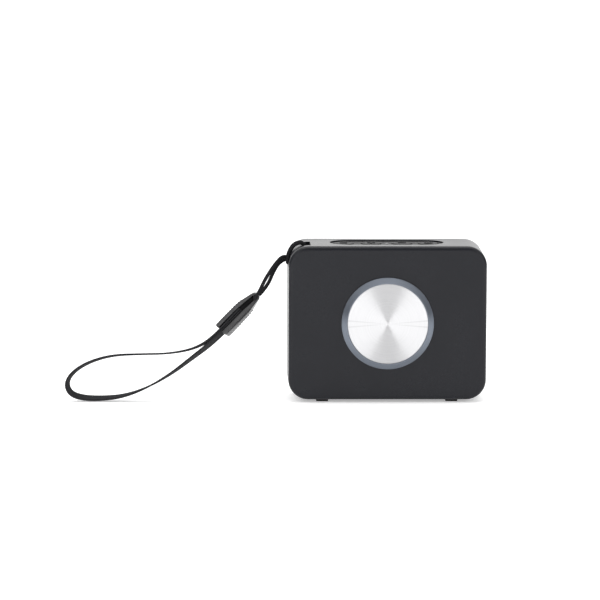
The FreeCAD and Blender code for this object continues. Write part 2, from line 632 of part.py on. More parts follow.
def keypad():
    plate_base = f"{PAD_TOP} - pad_plate"
    flange_top = f"{TOP} - wall"
    plate = pill("mat_plate", "pad_length/2 - fit_gap", "pad_width/2 - fit_gap",
                 (f"{flange_top} - pad_flange", PAD_TOP))
    flange = pill("mat_flange", "pad_length/2 + 1.2", "pad_width/2 + 1.2",
                  (f"{flange_top} - pad_flange", flange_top))
    holes = [cylinder(f"mat_bore_{key}", "z", "cap_radius + cap_gap", (f"{flange_top} - 3", f"{TOP} + 1"),
                      x=x, y=MID_DEPTH) for key, x in KEYS]
    holes.append(cylinder("mat_bore_light", "z", "1.1", (f"{flange_top} - 3", f"{TOP} + 1"),
                          x=0, y=MID_DEPTH))
    sub(cut("keypad_mat", fuse("mat_blank", plate + flange), holes))

    for key, x in KEYS:
        cap_base, cap_top = f"{plate_base} - 0.4", f"{PAD_TOP} + cap_rise"
        disc = cylinder(f"cap_disc_{key}", "z", "cap_radius", (cap_base, cap_top), x=x, y=MID_DEPTH)
        stem = cylinder(f"cap_stem_{key}", "z", "plunger_radius",
                        (f"{SWITCH_TOP} + 0.8", f"{cap_base} + 0.2"),
                        x=x, y=MID_DEPTH)
        marks = MARKS[key](f"mark_{key}", x, (f"{cap_top} - 0.2", f"{cap_top} + mark_rise"))
        sub(fuse(f"button_{key}", [disc, stem] + marks))
        sub(cylinder(f"plunger_{key}", "z", "plunger_radius",
                     (f"{SWITCH_TOP} - 0.9", f"{SWITCH_TOP} + 0.8"),
                     x=x, y=MID_DEPTH))
        half = "switch_side/2"
        shell = box(f"switch_case_{key}", (f"{x} - {half}", f"{x} + {half}"),
                    (f"{MID_DEPTH} - {half}", f"{MID_DEPTH} + {half}"), (BOARD_TOP, SWITCH_TOP))
        bore = cylinder(f"switch_bore_{key}", "z", "plunger_radius + 0.1",
                        (f"{SWITCH_TOP} - 1.7", f"{SWITCH_TOP} + 1"),
                        x=x, y=MID_DEPTH)
        sub(cut(f"switch_{key}", shell, [bore]))

    reach = "(pad_length/2 + post_gap)"
    board = box("key_board_blank", (f"-{reach} - 2.2", f"{reach} + 2.2"),
                (f"{MID_DEPTH} - key_board_half", f"{MID_DEPTH} + key_board_half"),
                (f"{BOARD_TOP} - board_thickness", BOARD_TOP))
    bores = [cylinder(f"key_board_bore_{side}", "z", "screw_radius + 0.1",
                      (f"{BOARD_TOP} - 3", f"{BOARD_TOP} + 1"), x=f"{sign}{reach}", y=MID_DEPTH)
             for side, sign in (("left", "-"), ("right", ""))]
    sub(cut("key_board", board, bores))
    sub(group("key_board_screws", [
        screw(f"key_board_screw_{side}", f"{sign}{reach}", 0, f"{BOARD_TOP} - board_thickness", "4.6",
              axis="z", y=MID_DEPTH, sign=-1)
        for side, sign in (("left", "-"), ("right", ""))]))
    sub(box("status_led", ("-0.8", "0.8"), (f"{MID_DEPTH} - 0.6", f"{MID_DEPTH} + 0.6"),
            (BOARD_TOP, f"{BOARD_TOP} + 0.7")))
    sub(cylinder("light_pipe", "z", "1", (f"{BOARD_TOP} + 0.7", f"{PAD_TOP} + 0.15"), x=0, y=MID_DEPTH))


# ---------------------------------------------------------------- electronics

BOARD_BACK = f"({COVER_FACE} - board_gap)"
BOARD_FRONT = f"({BOARD_BACK} - board_thickness)"


def board_screw_places():
    return [("-22", "12"), ("35", "16"), ("-22", "48"), ("35", "48")]


def electronics():
    blank = box("main_board_blank", ("-board_left", "board_right"), (BOARD_FRONT, BOARD_BACK),
                ("board_low", "board_high"))
    bores = [cylinder(f"main_board_bore_{i}", "y", "screw_radius + 0.1",
                      (f"{BOARD_FRONT} - 1", f"{BOARD_BACK} + 1"),
                      x=x, z=z) for i, (x, z) in enumerate(board_screw_places(), start=1)]
    corner = box("main_board_corner", ("30.5", "40"), (f"{BOARD_FRONT} - 1", f"{BOARD_BACK} + 1"),
                 ("8", "12.8"))
    sub(cut("main_board", blank, bores + [corner]))
    sub(group("board_screws", [screw(f"board_screw_{i}", x, z, BOARD_FRONT, "4.2", sign=-1)
                               for i, (x, z) in enumerate(board_screw_places(), start=1)]))
    sub(box("radio_module", ("20", "31"), (f"{BOARD_FRONT} - 2", BOARD_FRONT), ("38", "50")))
    sub(box("amplifier_chip", ("20", "27"), (f"{BOARD_FRONT} - 1.2", BOARD_FRONT), ("20", "27")))
    sub(cylinder("smoothing_capacitor", "y", "3", (f"{BOARD_FRONT} - 8", BOARD_FRONT), x="24", z="14"))
    sub(usb_socket())
    sub(box("battery_cell", ("-cell_outer", "-cell_inner"),
            (f"{MID_DEPTH} - cell_half", f"{MID_DEPTH} + cell_half"), ("cell_low", "cell_high")))
    sub(box("battery_pad", (f"-({SIDE} - wall)", "-cell_outer"),
            (f"{MID_DEPTH} - cell_half + 2", f"{MID_DEPTH} + cell_half - 2"),
            ("cell_low + 1.5", "cell_high - 1.5")))
    sub(flex_ribbon())
    board = value(BOARD_FRONT)
    sub(lead_pair("battery_leads", [
        Vector(-31.5, 1, 50.5), Vector(-31.5, 1, 52.6), Vector(-28.5, 3.5, 54.6), Vector(-23.5, 6.2, 53.2),
        Vector(-20, 7.0, 49.5), Vector(-18.5, 7.6, 46.2), Vector(-18.5, board, 46.2)], Vector(1.6, 0, 0)))
    tab = value(f"{MID_HEIGHT} - flange_radius + 1")
    sub(lead_pair("speaker_leads", [Vector(-2.4, value(FLANGE_BACK) + 1.1, tab + 1),
                                    Vector(-2.4, -6, tab + 1),
                                    Vector(-2.2, -1.5, tab - 2), Vector(-2.2, 3.5, tab - 1.8),
                                    Vector(-2.2, 7.5, tab - 0.4), Vector(-2.2, board, tab - 0.4)],
                  Vector(4.8, 0, 0)))


def usb_socket():
    """A thin shell with its mouth at the port opening, and a tongue inside it."""
    mouth = f"{SIDE} - wall - 1"
    shell = box("socket_shell", (f"{mouth} - 6.4", mouth), (f"{PORT_DEPTH} - 1.5", f"{PORT_DEPTH} + 1.5"),
                ("port_height - 4", "port_height + 4"))
    bore = box("socket_bore", (f"{mouth} - 5.4", f"{mouth} + 1"),
               (f"{PORT_DEPTH} - 1.2", f"{PORT_DEPTH} + 1.2"),
               ("port_height - 3.7", "port_height + 3.7"))
    tongue = box("socket_tongue", (f"{mouth} - 5.6", f"{mouth} - 1"),
                 (f"{PORT_DEPTH} - 0.3", f"{PORT_DEPTH} + 0.3"),
                 ("port_height - 2.6", "port_height + 2.6"))
    foot = box("socket_foot", (f"{mouth} - 6.4", f"{mouth} - 1.9"), (f"{PORT_DEPTH} + 1.3", BOARD_FRONT),
               ("port_height - 3.4", "port_height + 3.4"))
    return fuse("usb_socket", [cut("socket_hollow", shell, [bore]), tongue, foot])


def flex_ribbon():
    """A thin strip from the key board's back edge down to the main board."""
    near, far = value(f"{MID_DEPTH} + 5"), value(BOARD_FRONT)
    under = value(f"{BOARD_TOP} - board_thickness")
    thickness, half = 0.2, 4.0
    path = [(near, under), (near, under - 2.2), (far - thickness, under - 5.0), (far - thickness, 46.0)]
    back = [(y + thickness, z) for y, z in reversed(path)]
    outline = Part.makePolygon([Vector(-half, y, z) for y, z in path + back + path[:1]])
    item = doc.addObject("Part::Feature", "flex_ribbon")
    item.Shape = Part.Face(outline).extrude(Vector(2 * half, 0, 0))
    item.Placement = Placement()
    return item


def lead_pair(name, points, step):
    """Two insulated leads side by side, bent to the same route."""
    item = doc.addObject("Part::Feature", name)
    shapes = [tube([p + step * i for p in points], 0.9, name) for i in (0, 1)]
    item.Shape = Part.makeCompound(shapes)
    item.Placement = Placement()
    return item


# ---------------------------------------------------------------- charging port

HINGE_DEPTH = f"({PORT_DEPTH} + door_width/2 - door_thickness/2)"
HINGE_X = f"({SIDE} - door_thickness/2)"


def port_cutters():
    low, high = "port_height - door_length/2 - door_gap", "port_height + door_length/2 + door_gap"
    recess = box("door_recess", (f"{SIDE} - door_thickness - door_gap", f"{SIDE} + 1"),
                 (f"{PORT_DEPTH} - door_width/2 - door_gap", f"{HINGE_DEPTH}"), (low, high))
    knuckle = cylinder("knuckle_recess", "z", "door_thickness/2 + door_gap", (low, high), x=HINGE_X,
                       y=HINGE_DEPTH)
    throat = box("knuckle_throat", (HINGE_X, f"{SIDE} + 1"),
                 (HINGE_DEPTH, f"{HINGE_DEPTH} + door_thickness/2 + door_gap"), (low, high))
    opening = box("port_opening", (f"{SIDE} - wall - 3", f"{SIDE}"),
                  (f"{PORT_DEPTH} - port_width/2", f"{PORT_DEPTH} + port_width/2"),
                  ("port_height - port_length/2", "port_height + port_length/2"))
    pin = cylinder("pin_bore", "z", "pin_radius",
                   ("port_height - door_length/2 - pin_overrun",
                    "port_height + door_length/2 + pin_overrun"),
                   x=HINGE_X, y=HINGE_DEPTH)
    return [recess, knuckle, throat, opening, pin]


def port_door():
    low, high = "port_height - door_length/2", "port_height + door_length/2"
    plate = box("door_plate", (f"{SIDE} - door_thickness", SIDE),
                (f"{PORT_DEPTH} - door_width/2", HINGE_DEPTH), (low, high))
    knuckle = cylinder("door_knuckle", "z", "door_thickness/2", (low, high), x=HINGE_X, y=HINGE_DEPTH)
    bore = cylinder("door_bore", "z", "pin_radius + 0.05", (f"{low} - 1", f"{high} + 1"), x=HINGE_X,
                    y=HINGE_DEPTH)
    nick = cylinder("door_nick", "z", "1", ("port_height - 3", "port_height + 3"),
                    x=f"{SIDE} + 0.7", y=f"{PORT_DEPTH} - door_width/2 + 0.1")
    sub(cut("port_door", fuse("door_blank", [plate, knuckle]), [bore, nick]))
    outer = (f"{PORT_DEPTH} - port_width/2 + plug_inset", f"{PORT_DEPTH} + port_width/2 - plug_inset")
    tall = (f"port_height - port_length/2 + plug_inset", f"port_height + port_length/2 - plug_inset")
    block = box("seal_block", (f"{SIDE} - door_thickness - seal_depth", f"{SIDE} - door_thickness"), outer,
                tall)
    hollow = box("seal_hollow", (f"{SIDE} - door_thickness - seal_depth - 1",
                                 f"{SIDE} - door_thickness - 0.5"),
                 (f"{outer[0]} + plug_wall", f"{outer[1]} - plug_wall"),
                 (f"{tall[0]} + plug_wall", f"{tall[1]} - plug_wall"))
    sub(cut("port_plug", block, [hollow]))
    sub(cylinder("door_pin", "z", "pin_radius", ("port_height - door_length/2 - pin_overrun",
                                                 "port_height + door_length/2 + pin_overrun"),
                 x=HINGE_X, y=HINGE_DEPTH))


# ---------------------------------------------------------------- strap

def bent_path(points, label):
    """Straight runs joined by tangent arcs, each as large as its two runs allow."""
    edges, radii, start = [], [], points[0]
    for before, corner, after in zip(points, points[1:], points[2:]):
        back, forth = (before - corner), (after - corner)
        shorter = min(back.Length, forth.Length)
        reach = 0.45 * shorter
        back.normalize()
        forth.normalize()
        half_turn = (math.pi - back.getAngle(forth)) / 2
        radii.append(reach / math.tan(half_turn))
        enter, leave = corner + back * reach, corner + forth * reach
        bisector = (back + forth).normalize()
        centre = corner + bisector * (radii[-1] / math.cos(half_turn))
        summit = centre - bisector * radii[-1]
        edges.append(Part.LineSegment(start, enter).toShape())
        edges.append(Part.Arc(enter, summit, leave).toShape())
        start = leave
    edges.append(Part.LineSegment(start, points[-1]).toShape())
    print(label, "radii", " ".join(f"{r:.1f}" for r in radii))
    return Part.Wire(edges)


def tube(points, diameter, label):
    path = bent_path(points, label)
    section = Part.Wire(Part.Circle(points[0], points[1] - points[0], diameter / 2).toShape())
    solid = path.makePipeShell([section], True, False)
    expected = math.pi * diameter ** 2 / 4 * path.Length
    print(label, f"length {path.Length:.1f}, volume {solid.Volume:.2f} of {expected:.2f}")
    if abs(solid.Volume / expected - 1) > 0.02:
        raise RuntimeError(f"{label} has the wrong volume")
    return solid


# The cord starts in the fold of the sleeve, goes up to the corner, in at the side hole, behind the
# anchor bar and out of the top slot, down over the bar, round its own two strands, and back.
CORD_NEAR = [
    (-57.0, -11.6, 44.95), (-57.0, -13.5, 44.95), (-56.2, -14.9, 45.8), (-54.9, -14.7, 47.8),
    (-52.4, -12.6, 51.2), (-49.7, -10.0, 55.8), (-47.8, -7.2, 59.0), (-45.8, -5.0, 60.9),
    (-43.4, -4.0, 61.3), (-41.2, -4.0, 60.1), (-38.8, -4.05, 60.7), (-37.3, -4.1, 62.4),
    (-35.7, -4.1, 64.0), (-35.2, -4.2, 65.7), (-36.0, -4.4, 67.2), (-37.6, -4.7, 67.7),
    (-40.0, -5.15, 66.4), (-42.3, -5.55, 63.9), (-43.5, -5.6, 62.0), (-43.7, -5.4, 60.6),
    (-43.7, -4.15, 59.5),
]
CORD_FAR = [
    (-57.0, -7.4, 44.95), (-57.0, -5.5, 44.95), (-56.6, -4.1, 45.9), (-55.7, -4.2, 47.3),
    (-53.8, -4.6, 50.2), (-51.6, -4.2, 54.0), (-49.0, -3.4, 58.0), (-46.3, -2.7, 61.0),
    (-43.6, -2.4, 61.4), (-41.2, -2.4, 60.1), (-38.8, -2.35, 60.7), (-37.3, -2.3, 62.4),
    (-35.7, -2.3, 64.0), (-35.2, -2.2, 65.7), (-36.0, -2.0, 67.2), (-37.6, -1.7, 67.7),
    (-40.0, -1.25, 66.4), (-42.3, -0.85, 63.9), (-43.5, -0.8, 62.0), (-43.7, -1.0, 60.6),
    (-43.7, -2.25, 59.5),
]

# The webbing leaves the sleeve, lies down on the floor, turns and comes back, as (x, z).
WEB_ROUTE = [
    (-62.61, 38.27), (-74.36, 26.00), (-83.6, 18.8), (-93.2, 11.9), (-103.2, 5.8), (-113.0, 1.9),
    (-122.6, 0.8), (-131.2, 1.0), (-137.0, 3.4), (-138.5, 8.8), (-134.8, 13.9), (-127.7, 18.0),
    (-118.0, 20.6), (-105.6, 20.9), (-93.6, 21.0), (-82.6, 22.9), (-74.47, 27.48), (-63.40, 39.03),
]

NOSE = Vector(-55.4, 0, 46.6)
SLEEVE_END = Vector(-71.0, 0, 30.3)


def strap_cord():
    near = [Vector(*p) for p in CORD_NEAR]
    far = [Vector(*p) for p in CORD_FAR]
    item = doc.addObject("Part::Feature", "strap_cord")
    item.Shape = tube(near + far[::-1], value("cord_diameter"), "strap_cord")
    item.Placement = Placement()
    return sub(item)


def strap_webbing():
    depth, width, thickness = value("strap_depth"), value("web_width"), value("web_thickness")
    points = [Vector(x, depth, z) for x, z in WEB_ROUTE]
    path = bent_path(points, "strap_webbing")
    along = (points[1] - points[0]).normalize()
    up = Vector(-along.z, 0, along.x)
    across = Vector(0, 1, 0)
    corners = [points[0] + across * (width / 2 * i) + up * (thickness / 2 * j)
               for i, j in ((-1, -1), (1, -1), (1, 1), (-1, 1), (-1, -1))]
    band = path.makePipeShell([Part.makePolygon(corners)], True, False)
    expected = width * thickness * path.Length
    print(f"strap_webbing length {path.Length:.1f}, volume {band.Volume:.2f} of {expected:.2f}")
    item = doc.addObject("Part::Feature", "strap_webbing")
    item.Shape = band
    item.Placement = Placement()
    return sub(item)


def strap_sleeve():
    """A thick strip folded round the cord, its two flaps holding the webbing between them."""
    along = (SLEEVE_END - NOSE)
    length = along.Length
    along.normalize()
    up = Vector(along.z, 0, -along.x)
    if up.z < 0:
        up = up * -1
    nose_radius, bore, clamp, flare = 2.3, value("cord_diameter") / 2 + 0.05, value("web_thickness"), 3.3
    hub = NOSE + along * nose_radius

    def at(s, t):
        return NOSE + along * s + up * t

    outline = [
        Part.LineSegment(at(nose_radius, nose_radius), at(length, flare)),
        Part.LineSegment(at(length, flare), at(length, clamp)),
        Part.LineSegment(at(length, clamp), at(nose_radius + 4.5, clamp)),
        Part.LineSegment(at(nose_radius + 4.5, clamp), at(nose_radius, bore)),
        Part.Arc(at(nose_radius, bore), hub - along * bore, at(nose_radius, -bore)),
        Part.LineSegment(at(nose_radius, -bore), at(nose_radius + 4.5, -clamp)),
        Part.LineSegment(at(nose_radius + 4.5, -clamp), at(length, -clamp)),
        Part.LineSegment(at(length, -clamp), at(length, -flare)),
        Part.LineSegment(at(length, -flare), at(nose_radius, -nose_radius)),
        Part.Arc(at(nose_radius, -nose_radius), NOSE, at(nose_radius, nose_radius)),
    ]
    face = Part.Face(Part.Wire([edge.toShape() for edge in outline]))
    width = value("sleeve_width")
    item = doc.addObject("Part::Feature", "strap_sleeve")
    item.Shape = face.extrude(Vector(0, width, 0))
    item.Placement = Placement(Vector(0, value("strap_depth") - width / 2, 0), Rotation())
    return sub(item)


# ---------------------------------------------------------------- build

def check_and_write():
    doc.recompute()
    broken = [o.Label for o in doc.Objects if {"Invalid", "Error"} & set(o.State)]
    if broken:
        raise RuntimeError(f"failed objects: {broken}")
    for item in sub_parts:
        shape = item.Shape
        if shape.isNull() or not shape.isValid() or shape.Volume <= 0:
            raise RuntimeError(f"{item.Label} has no valid shape")
    os.makedirs("parts", exist_ok=True)
    for item in sub_parts:
        item.Shape.exportStep(f"parts/{item.Label}.step")
        print(f"{item.Label}: {len(item.Shape.Solids)} solid, {item.Shape.Volume:.1f} mm3")


front_housing()
rear_cover()
cover_seal()
cover_screws()
feet()
driver()
keypad()
electronics()
port_door()
strap_cord()
strap_webbing()
strap_sleeve()
check_and_write()
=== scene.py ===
import math

import bpy
import numpy as np
from mathutils import Matrix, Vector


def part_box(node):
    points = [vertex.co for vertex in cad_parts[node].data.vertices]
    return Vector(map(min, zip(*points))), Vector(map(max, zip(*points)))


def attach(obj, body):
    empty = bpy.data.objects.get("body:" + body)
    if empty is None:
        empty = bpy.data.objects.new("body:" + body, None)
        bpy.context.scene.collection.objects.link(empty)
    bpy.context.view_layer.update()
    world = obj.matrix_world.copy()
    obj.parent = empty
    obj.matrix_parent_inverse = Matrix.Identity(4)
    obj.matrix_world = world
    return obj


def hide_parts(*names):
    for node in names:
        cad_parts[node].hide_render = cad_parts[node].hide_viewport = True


bl_info = {
    "name": "Shower Speaker Looks",
    "version": (1, 0, 0),
    "blender": (4, 5, 0),
    "location": "View3D > Sidebar > Speaker",
    "description": "Strap, finishes and studio for a small splash-proof speaker",
    "category": "Add Mesh",
}

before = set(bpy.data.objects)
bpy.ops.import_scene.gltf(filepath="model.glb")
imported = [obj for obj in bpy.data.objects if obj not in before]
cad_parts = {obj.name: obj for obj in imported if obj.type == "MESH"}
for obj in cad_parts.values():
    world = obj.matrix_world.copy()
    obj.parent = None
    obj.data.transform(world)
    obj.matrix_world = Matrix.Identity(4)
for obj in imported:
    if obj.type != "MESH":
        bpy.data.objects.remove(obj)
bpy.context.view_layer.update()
MM = 0.001

# ---- The strap's routes, in metres: control points of smooth splines ----

CORD_NEAR = [
    (-0.0570, -0.0116, 0.04495), (-0.0570, -0.0137, 0.04495), (-0.0563, -0.0150, 0.0462),
    (-0.0547, -0.0143, 0.0487), (-0.0533, -0.0125, 0.0516), (-0.0514, -0.0106, 0.0547),
    (-0.0498, -0.0090, 0.0569), (-0.0480, -0.0074, 0.0592), (-0.0456, -0.0056, 0.0618),
    (-0.0434, -0.0044, 0.0621), (-0.0422, -0.0041, 0.0608), (-0.0407, -0.0040, 0.0600),
    (-0.0388, -0.00405, 0.0606), (-0.0373, -0.0041, 0.0624), (-0.0357, -0.0041, 0.0640),
    (-0.0351, -0.0042, 0.0658), (-0.0359, -0.0044, 0.0675), (-0.0378, -0.0047, 0.0681),
    (-0.0402, -0.00515, 0.0669), (-0.0417, -0.00555, 0.0646), (-0.0425, -0.0056, 0.0624),
    (-0.0427, -0.0054, 0.0603), (-0.0427, -0.00415, 0.0593),
]
CORD_FAR = [
    (-0.0570, -0.0074, 0.04495), (-0.0570, -0.0055, 0.04495), (-0.0559, -0.0044, 0.0448),
    (-0.0547, -0.0050, 0.0456), (-0.0526, -0.0046, 0.0480), (-0.0507, -0.0042, 0.0508),
    (-0.0494, -0.0038, 0.0539), (-0.0479, -0.0033, 0.0569), (-0.0461, -0.0029, 0.0593),
    (-0.0437, -0.0025, 0.0606), (-0.0422, -0.0024, 0.0604), (-0.0407, -0.0024, 0.0598),
    (-0.0388, -0.00235, 0.0606), (-0.0373, -0.0023, 0.0624), (-0.0357, -0.0023, 0.0640),
    (-0.0351, -0.0022, 0.0658), (-0.0359, -0.0020, 0.0675), (-0.0378, -0.0017, 0.0681),
    (-0.0402, -0.00125, 0.0669), (-0.0417, -0.00085, 0.0646), (-0.0425, -0.0008, 0.0624),
    (-0.0427, -0.0010, 0.0603), (-0.0427, -0.00225, 0.0593),
]
CORD_ROUTE = CORD_NEAR + CORD_FAR[::-1]

TAPE_DEPTH = -0.0095
TAPE_ROUTE = [
    (x, TAPE_DEPTH, z) for x, z in [
        (-0.0618, 0.0391), (-0.06261, 0.03827), (-0.07436, 0.02600), (-0.0836, 0.0188), (-0.0930, 0.0116),
        (-0.1030, 0.0058), (-0.1128, 0.0022), (-0.1222, 0.0012), (-0.1306, 0.0014),
        (-0.1362, 0.0034), (-0.1377, 0.0084), (-0.1340, 0.0134), (-0.1270, 0.0174),
        (-0.1175, 0.0200), (-0.1053, 0.0204), (-0.0935, 0.0206), (-0.0826, 0.0227),
        (-0.07447, 0.02748), (-0.06340, 0.03903), (-0.0626, 0.0398),
    ]
]
# How far the tape is turned about its own line, by share of its length: (share, degrees).
TAPE_TURN = [(0.0, -26), (0.11, -26), (0.22, -15), (0.31, -6), (0.38, 6), (0.46, 14), (0.56, 16),
             (0.64, 12), (0.73, 8), (0.82, 9), (0.90, 16), (0.95, 24), (1.0, 25)]

SLEEVE_NOSE = np.array((-0.0554, -0.0095, 0.0466))
SLEEVE_END = np.array((-0.0710, -0.0095, 0.0303))
# The folded strip's middle line: (distance from the nose, offset from the axis).
FOLD_SIDE = [(0.0224, 0.00205), (0.0190, 0.00212), (0.0140, 0.00208), (0.0105, 0.00206), (0.0080, 0.00196),
             (0.0060, 0.00178), (0.0045, 0.00162), (0.0028, 0.00146), (0.0008, 0.00112)]
SLEEVE_TURN = [(0.0, -4), (0.15, -12), (0.45, -24), (1.0, -27)]


# ---- Numpy surfaces ----

def spline_points(points, step):
    """Points a step apart along a quadratic NURBS curve, read from a curve object that has no bevel."""
    data = bpy.data.curves.new("route", "CURVE")
    data.dimensions = "3D"
    data.resolution_u = 24
    spline = data.splines.new("NURBS")
    spline.points.add(len(points) - 1)
    spline.points.foreach_set("co", np.c_[np.array(points), np.ones(len(points))].ravel())
    spline.order_u = 3
    spline.use_endpoint_u = True
    holder = bpy.data.objects.new("route", data)
    mesh = bpy.data.meshes.new_from_object(holder)
    line = np.empty(len(mesh.vertices) * 3)
    mesh.vertices.foreach_get("co", line)
    line = line.reshape(-1, 3)
    bpy.data.meshes.remove(mesh)
    bpy.data.objects.remove(holder)
    bpy.data.curves.remove(data)
    along = lengths_along(line)
    even = np.linspace(0, along[-1], max(2, round(along[-1] / step) + 1))
    return np.stack([np.interp(even, along, line[:, i]) for i in range(3)], axis=1)


def lengths_along(line):
    """Distance along a line of points, from its first one."""
    return np.r_[0, np.cumsum(np.linalg.norm(np.diff(line, axis=0), axis=1))]


def unit(v):
    """Vectors divided by their lengths."""
    return v / np.linalg.norm(v, axis=-1, keepdims=True)


def carried_frame(line):
    """Two directions square to a line at each station, carried along it without spinning about it."""
    run = unit(np.gradient(line, axis=0))
    first = np.cross(run[0], (0.3, 0.5, 0.8))
    side = np.empty_like(line)
    side[0] = unit(first)
    for i in range(1, len(line)):
        side[i] = unit(side[i - 1] - run[i] * (side[i - 1] @ run[i]))
    return side, np.cross(run, side)


def mesh_object(name, points, quads, triangles, quad_uv, triangle_uv):
    """A smooth mesh object from numpy arrays, its faces turned outwards by the sign of its volume."""
    p = points
    a = np.einsum("ij,ij->i", p[quads[:, 0]], np.cross(p[quads[:, 1]], p[quads[:, 2]])).sum()
    a += np.einsum("ij,ij->i", p[quads[:, 0]], np.cross(p[quads[:, 2]], p[quads[:, 3]])).sum()
    if len(triangles):
        t = triangles
        a += np.einsum("ij,ij->i", p[t[:, 0]], np.cross(p[t[:, 1]], p[t[:, 2]])).sum()
    if a < 0:
        quads, quad_uv = quads[:, ::-1], quad_uv[:, ::-1]
        triangles, triangle_uv = triangles[:, ::-1], triangle_uv[:, ::-1]
    mesh = bpy.data.meshes.new(name)
    mesh.from_pydata(points.tolist(), [], quads.tolist() + triangles.tolist())
    layer = mesh.uv_layers.new(name="skin")
    uv = np.concatenate([quad_uv.reshape(-1, 2), triangle_uv.reshape(-1, 2)])
    layer.data.foreach_set("uv", uv.astype(np.float32).ravel())
    mesh.polygons.foreach_set("use_smooth", np.ones(len(mesh.polygons), bool))
    mesh.update()
    obj = bpy.data.objects.new(name, mesh)
    bpy.context.scene.collection.objects.link(obj)
    return obj


def ring_faces(stations, around, start):
    """Quads between neighbouring rings of points, and a fan over each end that meets at its own point."""
    i = np.arange(stations - 1)[:, None]
    j = np.arange(around)[None, :]
    k = (j + 1) % around
    quads = np.stack([i * around + j, i * around + k, (i + 1) * around + k, (i + 1) * around + j], -1)
    j = j.ravel()
    k = k.ravel()
    low = stations * around
    top = (stations - 1) * around
    fans = np.concatenate([np.stack([np.full(around, low), k, j], -1),
                           np.stack([np.full(around, low + 1), top + j, top + k], -1)])
    return quads.reshape(-1, 4) + start, fans + start


def skin(name, rings, around_length=1.0, along=None):
    """A closed skin: quads join each ring of points to the next, and each end closes in a fan.
    Its UV map has the share round the ring times around_length, and the distance along."""
    return skins(name, rings[None], around_length, along)


def skins(name, sets, around_length=1.0, along=None):
    """Several closed skins of the same count in one mesh: sets is skin by station by point by axis."""
    count, stations, around = sets.shape[:3]
    if along is None:
        along = np.linspace(0, 1, stations)
    points, quads, fans = [], [], []
    for number, rings in enumerate(sets):
        q, f = ring_faces(stations, around, number * (stations * around + 2))
        points.append(np.concatenate([rings.reshape(-1, 3), rings[:1].mean(1), rings[-1:].mean(1)]))
        quads.append(q)
        fans.append(f)
    i, j = np.meshgrid(np.arange(stations - 1), np.arange(around), indexing="ij")
    u = np.stack([j, j + 1, j + 1, j], -1) / around * around_length
    v = np.stack([along[i], along[i], along[i + 1], along[i + 1]], -1)
    quad_uv = np.stack([u, v], -1).reshape(-1, 4, 2)
    j = np.arange(around)
    end_u = np.stack([j, j, j + 1], -1) / around * around_length
    low_uv = np.stack([end_u, np.full(end_u.shape, along[0])], -1)
    top_uv = np.stack([end_u, np.full(end_u.shape, along[-1])], -1)
    return mesh_object(name, np.concatenate(points), np.concatenate(quads), np.concatenate(fans),
                       np.tile(quad_uv, (count, 1, 1)),
                       np.tile(np.concatenate([low_uv, top_uv]), (count, 1, 1)))


def rounded_section(half_width, half_thick, around):
    """A flat oval: a superellipse whose fourth powers add up to one, so its sides are nearly straight."""
    a = np.linspace(0, 2 * math.pi, around, endpoint=False)
    c, s = np.cos(a), np.sin(a)
    return np.stack([np.sign(c) * np.abs(c) ** 0.5 * half_width,
                     np.sign(s) * np.abs(s) ** 0.5 * half_thick], -1)


def smooth_between(table, share):
    """Values read between the rows of a (share, value) table, averaged over a twentieth each way."""
    x, y = np.array(table, float).T
    near = np.linspace(-0.05, 0.05, 21)
    return np.interp(np.clip(share[:, None] + near, 0, 1), x, y).mean(1)


# ---- Shader helpers and groups ----

def add(tree, kind, inputs=None, **settings):
    """Adds a node, makes its settings, then links each input that is given a socket and sets the others."""
    made = tree.nodes.new(kind)
    for key, value in settings.items():
        setattr(made, key, value)
    for key, value in (inputs or {}).items():
        if isinstance(value, bpy.types.NodeSocket):
            tree.links.new(value, made.inputs[key])
        else:
            made.inputs[key].default_value = value
    return made


def calc(tree, operation, *values, clamp=False):
    """A Math node's result."""
    made = add(tree, "ShaderNodeMath", dict(enumerate(values)), operation=operation, use_clamp=clamp)
    return made.outputs[0]


def vector(tree, operation, *values):
    """A Vector Math node's vector result."""
    return add(tree, "ShaderNodeVectorMath", dict(enumerate(values)), operation=operation).outputs["Vector"]


def spread(tree, value, low, high, to_low=0.0, to_high=1.0):
    """A value mapped smoothly from one range to another."""
    return add(tree, "ShaderNodeMapRange", {"Value": value, "From Min": low, "From Max": high,
                                            "To Min": to_low, "To Max": to_high},
               interpolation_type="SMOOTHSTEP").outputs["Result"]


def object_place(tree):
    """Object coordinates."""
    return add(tree, "ShaderNodeTexCoord").outputs["Object"]


def split(tree, value):
    """A vector's three parts."""
    return add(tree, "ShaderNodeSeparateXYZ", {0: value}).outputs


def blend_colours(tree, share, first, second):
    """Two colours mixed by a share."""
    made = add(tree, "ShaderNodeMix", data_type="RGBA")
    for socket, value in zip((made.inputs[0], made.inputs[6], made.inputs[7]), (share, first, second)):
        if isinstance(value, bpy.types.NodeSocket):
            tree.links.new(value, socket)
        else:
            socket.default_value = value
    return made.outputs[2]


def new_group(name, inputs, outputs):
    """An empty shader group with float inputs given as (name, default) and float outputs by name."""
    tree = bpy.data.node_groups.new(name, "ShaderNodeTree")
    for label, default in inputs:
        tree.interface.new_socket(label, in_out="INPUT",
                                  socket_type="NodeSocketFloat").default_value = default
    for label in outputs:
        tree.interface.new_socket(label, in_out="OUTPUT", socket_type="NodeSocketFloat")
    return tree, tree.nodes.new("NodeGroupInput").outputs, tree.nodes.new("NodeGroupOutput").inputs


def noise(tree, place, scale, detail=2.0, roughness=0.5):
    """A noise texture's value."""
    return add(tree, "ShaderNodeTexNoise", {"Vector": place, "Scale": scale, "Detail": detail,
                                            "Roughness": roughness}).outputs["Fac"]


